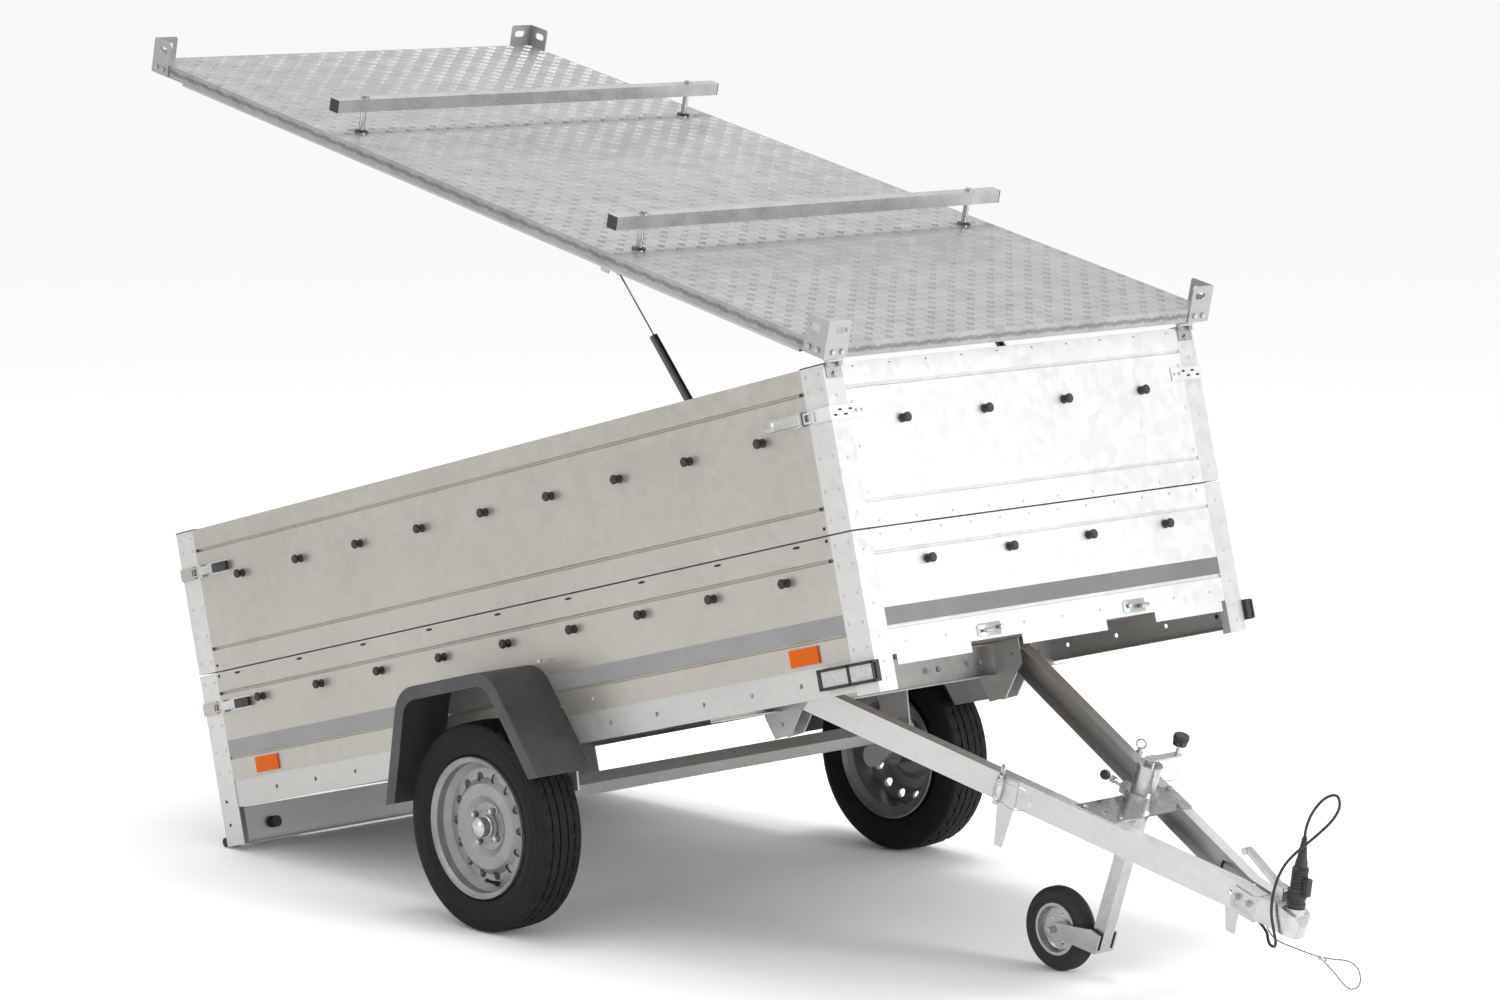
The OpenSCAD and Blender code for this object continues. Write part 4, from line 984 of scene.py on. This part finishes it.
@dataclass
class Lid:
    """Tread pattern, rim pattern and bar fixings of the lid."""

    finishes: Finishes
    pitch: float = 0.0345
    bar_half: float = 0.0125
    bar_high: float = 0.0010
    bar_wide: float = 0.0018
    bars_in_cell: int = 5
    bar_gap: float = 0.0052

    def _cell(self, rows: StudField, at: Callable[[float, float], Point], out: Point,
              column: int, line: int) -> None:
        """One cell of parallel bars, turned the other way in every second cell."""
        lean = 45.0 if (column + line) % 2 else -45.0
        for b in range(self.bars_in_cell):
            off = (b - (self.bars_in_cell - 1) / 2) * self.bar_gap
            angle = math.radians(lean)
            u, v = -math.sin(angle) * off, math.cos(angle) * off
            rows.add(LID, at(u, v), out, lean)

    def tread(self) -> None:
        """Raised bars over the whole top, in two fields."""
        columns = int(LID_WIDTH / self.pitch)
        lines = int(LID_LENGTH / self.pitch)
        for part, first, last in (("front", 0, lines // 2), ("rear", lines // 2, lines)):
            rows = StudField("tread_" + part, Stud.BAR, self.bar_wide, self.bar_high,
                             self.finishes.lid, "lid", "lid_plate", length=self.bar_half / self.bar_wide)
            for line in range(first, last):
                for column in range(columns):
                    x = -LID_WIDTH / 2 + (column + 0.5) * LID_WIDTH / columns
                    y = (line + 0.5) * LID_LENGTH / lines
                    self._cell(rows, lambda u, v, x=x, y=y: (x + u, y + v, LID_RIM), (0, 0, 1),
                               column, line)
            rows.build()

    def rim(self) -> None:
        """Cells of bars, leaning by turns, on the folded rim, in a darker copy of the tread plate's finish
        that paints the rim's shade.
        """
        rows = StudField("tread_rim", Stud.BAR, self.bar_wide, self.bar_high, self.finishes.edge, "lid",
                         "lid_plate", length=self.bar_half / self.bar_wide)
        step = self.pitch / self.bars_in_cell
        for k in range(int(LID_LENGTH / step) - 1):
            lean = 45 if (k // self.bars_in_cell) % 2 else -45
            for sign in (-1, 1):
                rows.add(LID, (sign * LID_WIDTH / 2, (k + 1) * step, LID_RIM / 2), (sign, 0, 0), lean)
        for k in range(int(LID_WIDTH / step) - 1):
            lean = 45 if (k // self.bars_in_cell) % 2 else -45
            for y, face in ((0.0, -1), (LID_LENGTH, 1)):
                rows.add(LID, (-LID_WIDTH / 2 + (k + 1) * step, y, LID_RIM / 2), (0, face, 0), lean)
        rows.build()

    def fixings(self) -> None:
        """Washers under the bars' posts and bolts on the corner ears."""
        bm = bmesh.new()
        for u in (0.800, 1.940):
            for x in (-0.575, 0.575):
                lathe(bm, [(0.0, 0.0032), (0.0175, 0.0032), (0.0190, 0.0045), (0.0180, 0.0062),
                           (0.0090, 0.0085), (0.0, 0.0085)], 24, shift(x, u, LID_RIM))
        new_piece("post_washers", bm, self.finishes.black, "lid", LID)
        heads = StudField("ear_bolts", Stud.BOLT, 0.0075, 0.0050, self.finishes.steel, "lid", "bright_steel")
        for sign in (-1, 1):
            for y, face in ((0.0, -1), (LID_LENGTH, 1)):
                for inset in (0.022, 0.052):
                    heads.add(LID, (sign * (LID_WIDTH / 2 + 0.003), y - face * inset, 0.017), (sign, 0, 0))
                    heads.add(LID, (sign * (LID_WIDTH / 2 - inset), y + face * 0.003, 0.017), (0, face, 0))
        heads.build()

    def build(self) -> None:
        """Makes every piece of the lid."""
        self.tread()
        self.rim()
        self.fixings()


# ---------------------------------------------------------------- wheels


@dataclass
class RoadWheel:
    """A grooved tyre over the CAD carcass, and the small parts of the rim."""

    finishes: Finishes
    radius: float = 0.271
    width: float = 0.138
    flange: float = 0.1825
    centre_x: float = 0.733
    groove: float = 0.006
    segments: int = 216

    def _tyre_profile(self) -> tuple[list[tuple[float, float]], set[int]]:
        """The tyre's closed outline, and which of its points carry the tread's ribs."""
        half, r, g = self.width / 2, self.radius, self.groove
        outer: list[tuple[float, float]] = []
        ribs: set[int] = set()
        side = [(self.flange - 0.0114, half - 0.031), (self.flange - 0.0096, half - 0.0144),
                (self.flange + 0.0005, half - 0.0114), (self.flange + 0.006, half - 0.0085),
                (self.flange + 0.008, half - 0.006), (self.flange + 0.0105, half - 0.0062),
                (r - 0.062, half - 0.0008), (r - 0.060, half), (r - 0.050, half), (r - 0.048, half - 0.0008),
                (r - 0.036, half), (r - 0.030, half - 0.0006), (r - 0.0285, half - 0.0020),
                (r - 0.020, half - 0.0032), (r - 0.012, half - 0.0055), (r - 0.0055, half - 0.0095)]
        outer += side
        edges = [0.056, 0.0375, 0.0335, 0.0150, 0.0105, -0.0105, -0.0150, -0.0335, -0.0375, -0.056]
        for k in range(0, len(edges), 2):
            high, low = edges[k], edges[k + 1]
            steps = 3
            for n in range(steps + 1):
                z = high + (low - high) * n / steps
                ribs.add(len(outer))
                outer.append((r - 1.05 * z * z, z))
            if k + 2 < len(edges):
                outer.append((r - g - 1.05 * low * low, low - 0.0006))
                outer.append((r - g - 1.05 * low * low, edges[k + 2] + 0.0006))
        outer += [(p, -z) for p, z in reversed(side)]
        return outer, ribs

    def tyre(self, side: str, mirror: Matrix) -> None:
        """Lathes the tyre, with slanted cuts across its ribs."""
        profile, ribs = self._tyre_profile()

        def reach(i: int, j: int) -> float:
            """Depth of the cross cuts at one point."""
            if j not in ribs:
                return 0.0
            z = profile[j][1]
            phase = (i + int(round(z * 110))) % 6
            edge_rib = abs(z) > 0.036
            if edge_rib:
                return -0.0045 if phase == 0 else 0.0
            return -0.0028 if phase == 3 and abs(z) > 0.012 else 0.0

        bm = bmesh.new()
        place = BOX @ mirror @ shift(-self.centre_x, AXLE[0], -AXLE[1]) @ Matrix.Rotation(
            math.radians(-90), 4, "Y")
        lathe(bm, profile, self.segments, place, True, reach)
        piece = new_piece("tyre_tread_" + side, bm, self.finishes.tyre, "wheel_" + side,
                          None, 28.0)
        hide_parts("tyre_" + side)

    def trim(self, side: str, mirror: Matrix) -> None:
        """Wheel bolts' washers, valve and cap ring."""
        place = BOX @ mirror @ shift(-self.centre_x, AXLE[0], -AXLE[1]) @ Matrix.Rotation(
            math.radians(-90), 4, "Y")
        bm = bmesh.new()
        for k in range(4):
            a = math.radians(45 + 90 * k)
            spot = place @ shift(0.050 * math.cos(a), 0.050 * math.sin(a), 0.0)
            lathe(bm, [(0.0, 0.0205), (0.0125, 0.0205), (0.0120, 0.0250), (0.0095, 0.0270),
                       (0.0, 0.0270)], 20, spot)
            lathe(bm, [(0.0, 0.0395), (0.0060, 0.0395), (0.0055, 0.0425), (0.0, 0.0425)], 12, spot)
        lathe(bm, [(0.0, 0.0575), (0.022, 0.0575), (0.0255, 0.0600), (0.0200, 0.0645),
                   (0.0, 0.0670)], 32, place)
        lathe(bm, [(0.0255, 0.0330), (0.0285, 0.0330), (0.0285, 0.0375), (0.0255, 0.0390)], 32, place)
        new_piece("wheel_bolts_" + side, bm, self.finishes.steel, "wheel_" + side)
        bm = bmesh.new()
        valve = place @ shift(-0.148, 0.0, 0.030) @ Matrix.Rotation(math.radians(22), 4, "Y")
        lathe(bm, [(0.0, -0.006), (0.0070, -0.006), (0.0062, 0.004), (0.0042, 0.012), (0.0042, 0.026),
                   (0.0050, 0.027), (0.0050, 0.036), (0.0, 0.037)], 14, valve)
        new_piece("valve_" + side, bm, self.finishes.rubber, "wheel_" + side)

    def build(self) -> None:
        """Makes both wheels' pieces."""
        for side, mirror in both_sides():
            self.tyre(side, mirror)
            self.trim(side, mirror)


# ---------------------------------------------------------------- drawbar


@dataclass
class DrawbarTrim:
    """Knobs, bolts, lanyards, plug details and jockey wheel trim."""

    finishes: Finishes
    arm_end: float = 1265.0
    jockey: float = 814.0

    def knobs(self) -> None:
        """Black grips on the crank and the clamp screw."""
        bm = bmesh.new()
        lathe(bm, [(0.0, 0.189), (0.0150, 0.189), (0.0176, 0.193), (0.0180, 0.200), (0.0200, 0.206),
                   (0.0205, 0.212), (0.0185, 0.2180), (0.0, 0.2190)], 28,
              DRAWBAR @ shift(0.090, -self.jockey / 1000, 0.0),
              False, lambda i, j: -0.0012 if i % 4 == 0 and 2 < j < 6 else 0.0)
        new_piece("crank_knob", bm, self.finishes.black, "jockey_crank")
        bm = bmesh.new()
        place = DRAWBAR @ shift(-0.034, -0.716, 0.078) @ Matrix.Rotation(math.radians(-62), 4, "Y")
        lathe(bm, [(0.0, -0.0128), (0.0070, -0.0118), (0.0118, -0.0062), (0.0129, 0.0), (0.0118, 0.0062),
                   (0.0070, 0.0118), (0.0, 0.0128)], 24, place)
        new_piece("screw_knob", bm, self.finishes.black, "clamp_screw")

    def bolts(self) -> None:
        """Bolt heads on the coupling's cheeks, the cross plate and the pivots."""
        heads = StudField("drawbar_bolts", Stud.BOLT, 0.0085, 0.0070, self.finishes.steel, "drawbar",
                          "bright_steel")
        for sign in (-1, 1):
            for s in (self.arm_end - 60, self.arm_end - 24):
                heads.add(DRAWBAR, (sign * 0.0530, -s / 1000, 0.004), (sign, 0, 0))
            for x in (0.150, 0.105):
                heads.add(DRAWBAR, (sign * x, -0.775 if x > 0.12 else -0.855, 0.0395), (0, 0, 1))
        heads.build()

    def lanyards(self) -> None:
        """Thin wire loops that tie the lock pins to the arms."""
        for side, mirror in both_sides():
            bm = bmesh.new()
            points = []
            for k in range(25):
                a = 2 * math.pi * k / 24
                points.append(Vector((-0.262 - 0.006 * math.sin(a * 2), -0.640 + 0.062 * math.cos(a),
                                      0.012 + 0.030 * math.sin(a) - 0.012 * math.cos(a))))
            rings = []
            for i, p in enumerate(points[:-1]):
                ahead = (points[i + 1] - points[i - 1 if i else -2]).normalized()
                side_way = ahead.cross(Vector((1, 0, 0))).normalized()
                other = ahead.cross(side_way)
                rings.append([bm.verts.new(p + 0.0011 * (math.cos(t) * side_way + math.sin(t) * other))
                              for t in (2 * math.pi * k / 6 for k in range(6))])
            for i, a in enumerate(rings):
                b = rings[(i + 1) % len(rings)]
                for k in range(6):
                    bm.faces.new((a[k], a[(k + 1) % 6], b[(k + 1) % 6], b[k]))
            bmesh.ops.recalc_face_normals(bm, faces=bm.faces[:])
            new_piece("lanyard_" + side, bm, self.finishes.steel, "drawbar", DRAWBAR @ mirror)

    def plug(self) -> bpy.types.Object:
        """Ribbed grip, rings and boot in the place of the plug's solid."""
        place = DRAWBAR @ shift(0, -1.343, 0.042) @ turn_x(-10.5)
        bm = bmesh.new()
        profile = [(0.0, 0.0005), (0.0222, 0.0005), (0.0228, 0.004), (0.0228, 0.012), (0.0205, 0.014),
                   (0.0205, 0.020), (0.0228, 0.022), (0.0228, 0.036), (0.0215, 0.040), (0.0200, 0.042)]
        for k in range(7):
            z = 0.046 + 0.0075 * k
            profile += [(0.0202, z), (0.0202, z + 0.0035), (0.0185, z + 0.0045), (0.0185, z + 0.0065)]
        profile += [(0.0195, 0.0985), (0.0155, 0.1000), (0.0150, 0.112), (0.0125, 0.120), (0.0108, 0.132)]
        for k in range(5):
            z = 0.136 + 0.0075 * k
            radius = 0.0104 - 0.0008 * k
            profile += [(radius, z), (radius, z + 0.003), (radius - 0.0018, z + 0.004),
                        (radius - 0.0018, z + 0.0065)]
        profile += [(0.0060, 0.1735), (0.0, 0.1740)]
        lathe(bm, profile, 36, place)
        slab_mesh = bmesh.new()
        slab(slab_mesh, (-0.009, -0.0345, 0.034), (0.009, -0.018, 0.078), 0.002)
        slab(slab_mesh, (-0.011, -0.030, 0.060), (0.011, -0.019, 0.068), 0.002)
        slab_mesh.transform(place)
        joined = bpy.data.meshes.new("plug_key")
        slab_mesh.to_mesh(joined)
        slab_mesh.free()
        bm.from_mesh(joined)
        bpy.data.meshes.remove(joined)
        piece = new_piece("plug_body", bm, self.finishes.black, "drawbar")
        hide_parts("plug")
        return piece

    def ferrule(self) -> bpy.types.Object:
        """Crimped sleeve where the safety wire's loop closes."""
        bm = bmesh.new()
        place = DRAWBAR @ shift(-0.0048, -1.452, -0.0335) @ turn_x(86)
        lathe(bm, [(0.0, 0.0), (0.0042, 0.0), (0.0050, 0.002), (0.0050, 0.020), (0.0042, 0.022),
                   (0.0, 0.022)], 14, place)
        return new_piece("wire_ferrule", bm, self.finishes.steel, "drawbar")

    def jockey_trim(self) -> None:
        """A ringed tyre in the place of the jockey wheel's solid tyre, and its axle nuts."""
        lean = math.radians(DRAWBAR_DROP - TILT)
        pivot = (AXLE[0] - 0.560) * math.sin(math.radians(TILT)) + (0.032 + AXLE[1]) * math.cos(
            math.radians(TILT)) + AXLE[2]
        reach = (self.jockey - 131) / 1000
        high = (0.105 - pivot + reach * math.sin(lean)) / math.cos(lean)
        place = DRAWBAR @ shift(0, -reach, high) @ Matrix.Rotation(math.radians(-90), 4, "Y")
        bm = bmesh.new()
        half = [(0.0630, 0.0140), (0.0640, 0.0215), (0.0760, 0.0255), (0.0780, 0.0245),
                (0.0800, 0.0258), (0.0925, 0.0255), (0.0985, 0.0215), (0.1030, 0.0150),
                (0.1052, 0.0090), (0.1052, 0.0060), (0.1035, 0.0050), (0.1035, 0.0030),
                (0.1052, 0.0020)]
        profile = [(r, -z) for r, z in half] + half[::-1]
        lathe(bm, profile, 72, place, True)
        piece = new_piece("jockey_tyre_shaped", bm, self.finishes.rubber, "jockey_wheel")
        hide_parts("jockey_tyre")
        bm = bmesh.new()
        for sign in (-1, 1):
            lathe(bm, [(0.0, sign * 0.0395), (0.0100, sign * 0.0395), (0.0092, sign * 0.0455),
                       (0.0, sign * 0.0460)], 6, place)
        new_piece("jockey_axle_nuts", bm, self.finishes.steel, "jockey_leg")

    def build(self) -> None:
        """Makes every piece of the drawbar's trim."""
        self.knobs()
        self.bolts()
        self.lanyards()
        self.jockey_trim()


def main() -> None:
    """Builds the studio, the cords and every sub-assembly, in that order."""
    logging.basicConfig(level=logging.INFO, format="%(message)s")
    Studio().build()
    finishes = Finishes()
    drawbar = DrawbarTrim(finishes)
    Cord("plug_cable", "plug_lead", LEAD_ROUTE[::-1], 0.0035, finishes.black, "black_plastic", "medium",
         "plug").build([drawbar.plug()])
    Cord("breakaway_wire", "safety_wire", WIRE_ROUTE, 0.0016, finishes.wire, "bright_steel", "stiff",
         "fitting", 12, 6).build([drawbar.ferrule()])
    finishes.dress(FRAME["nodes"])
    BoxBody(finishes).build()
    Latches(finishes).build()
    Lid(finishes).build()
    RoadWheel(finishes).build()
    drawbar.build()


if __name__ == "__main__":
    main()
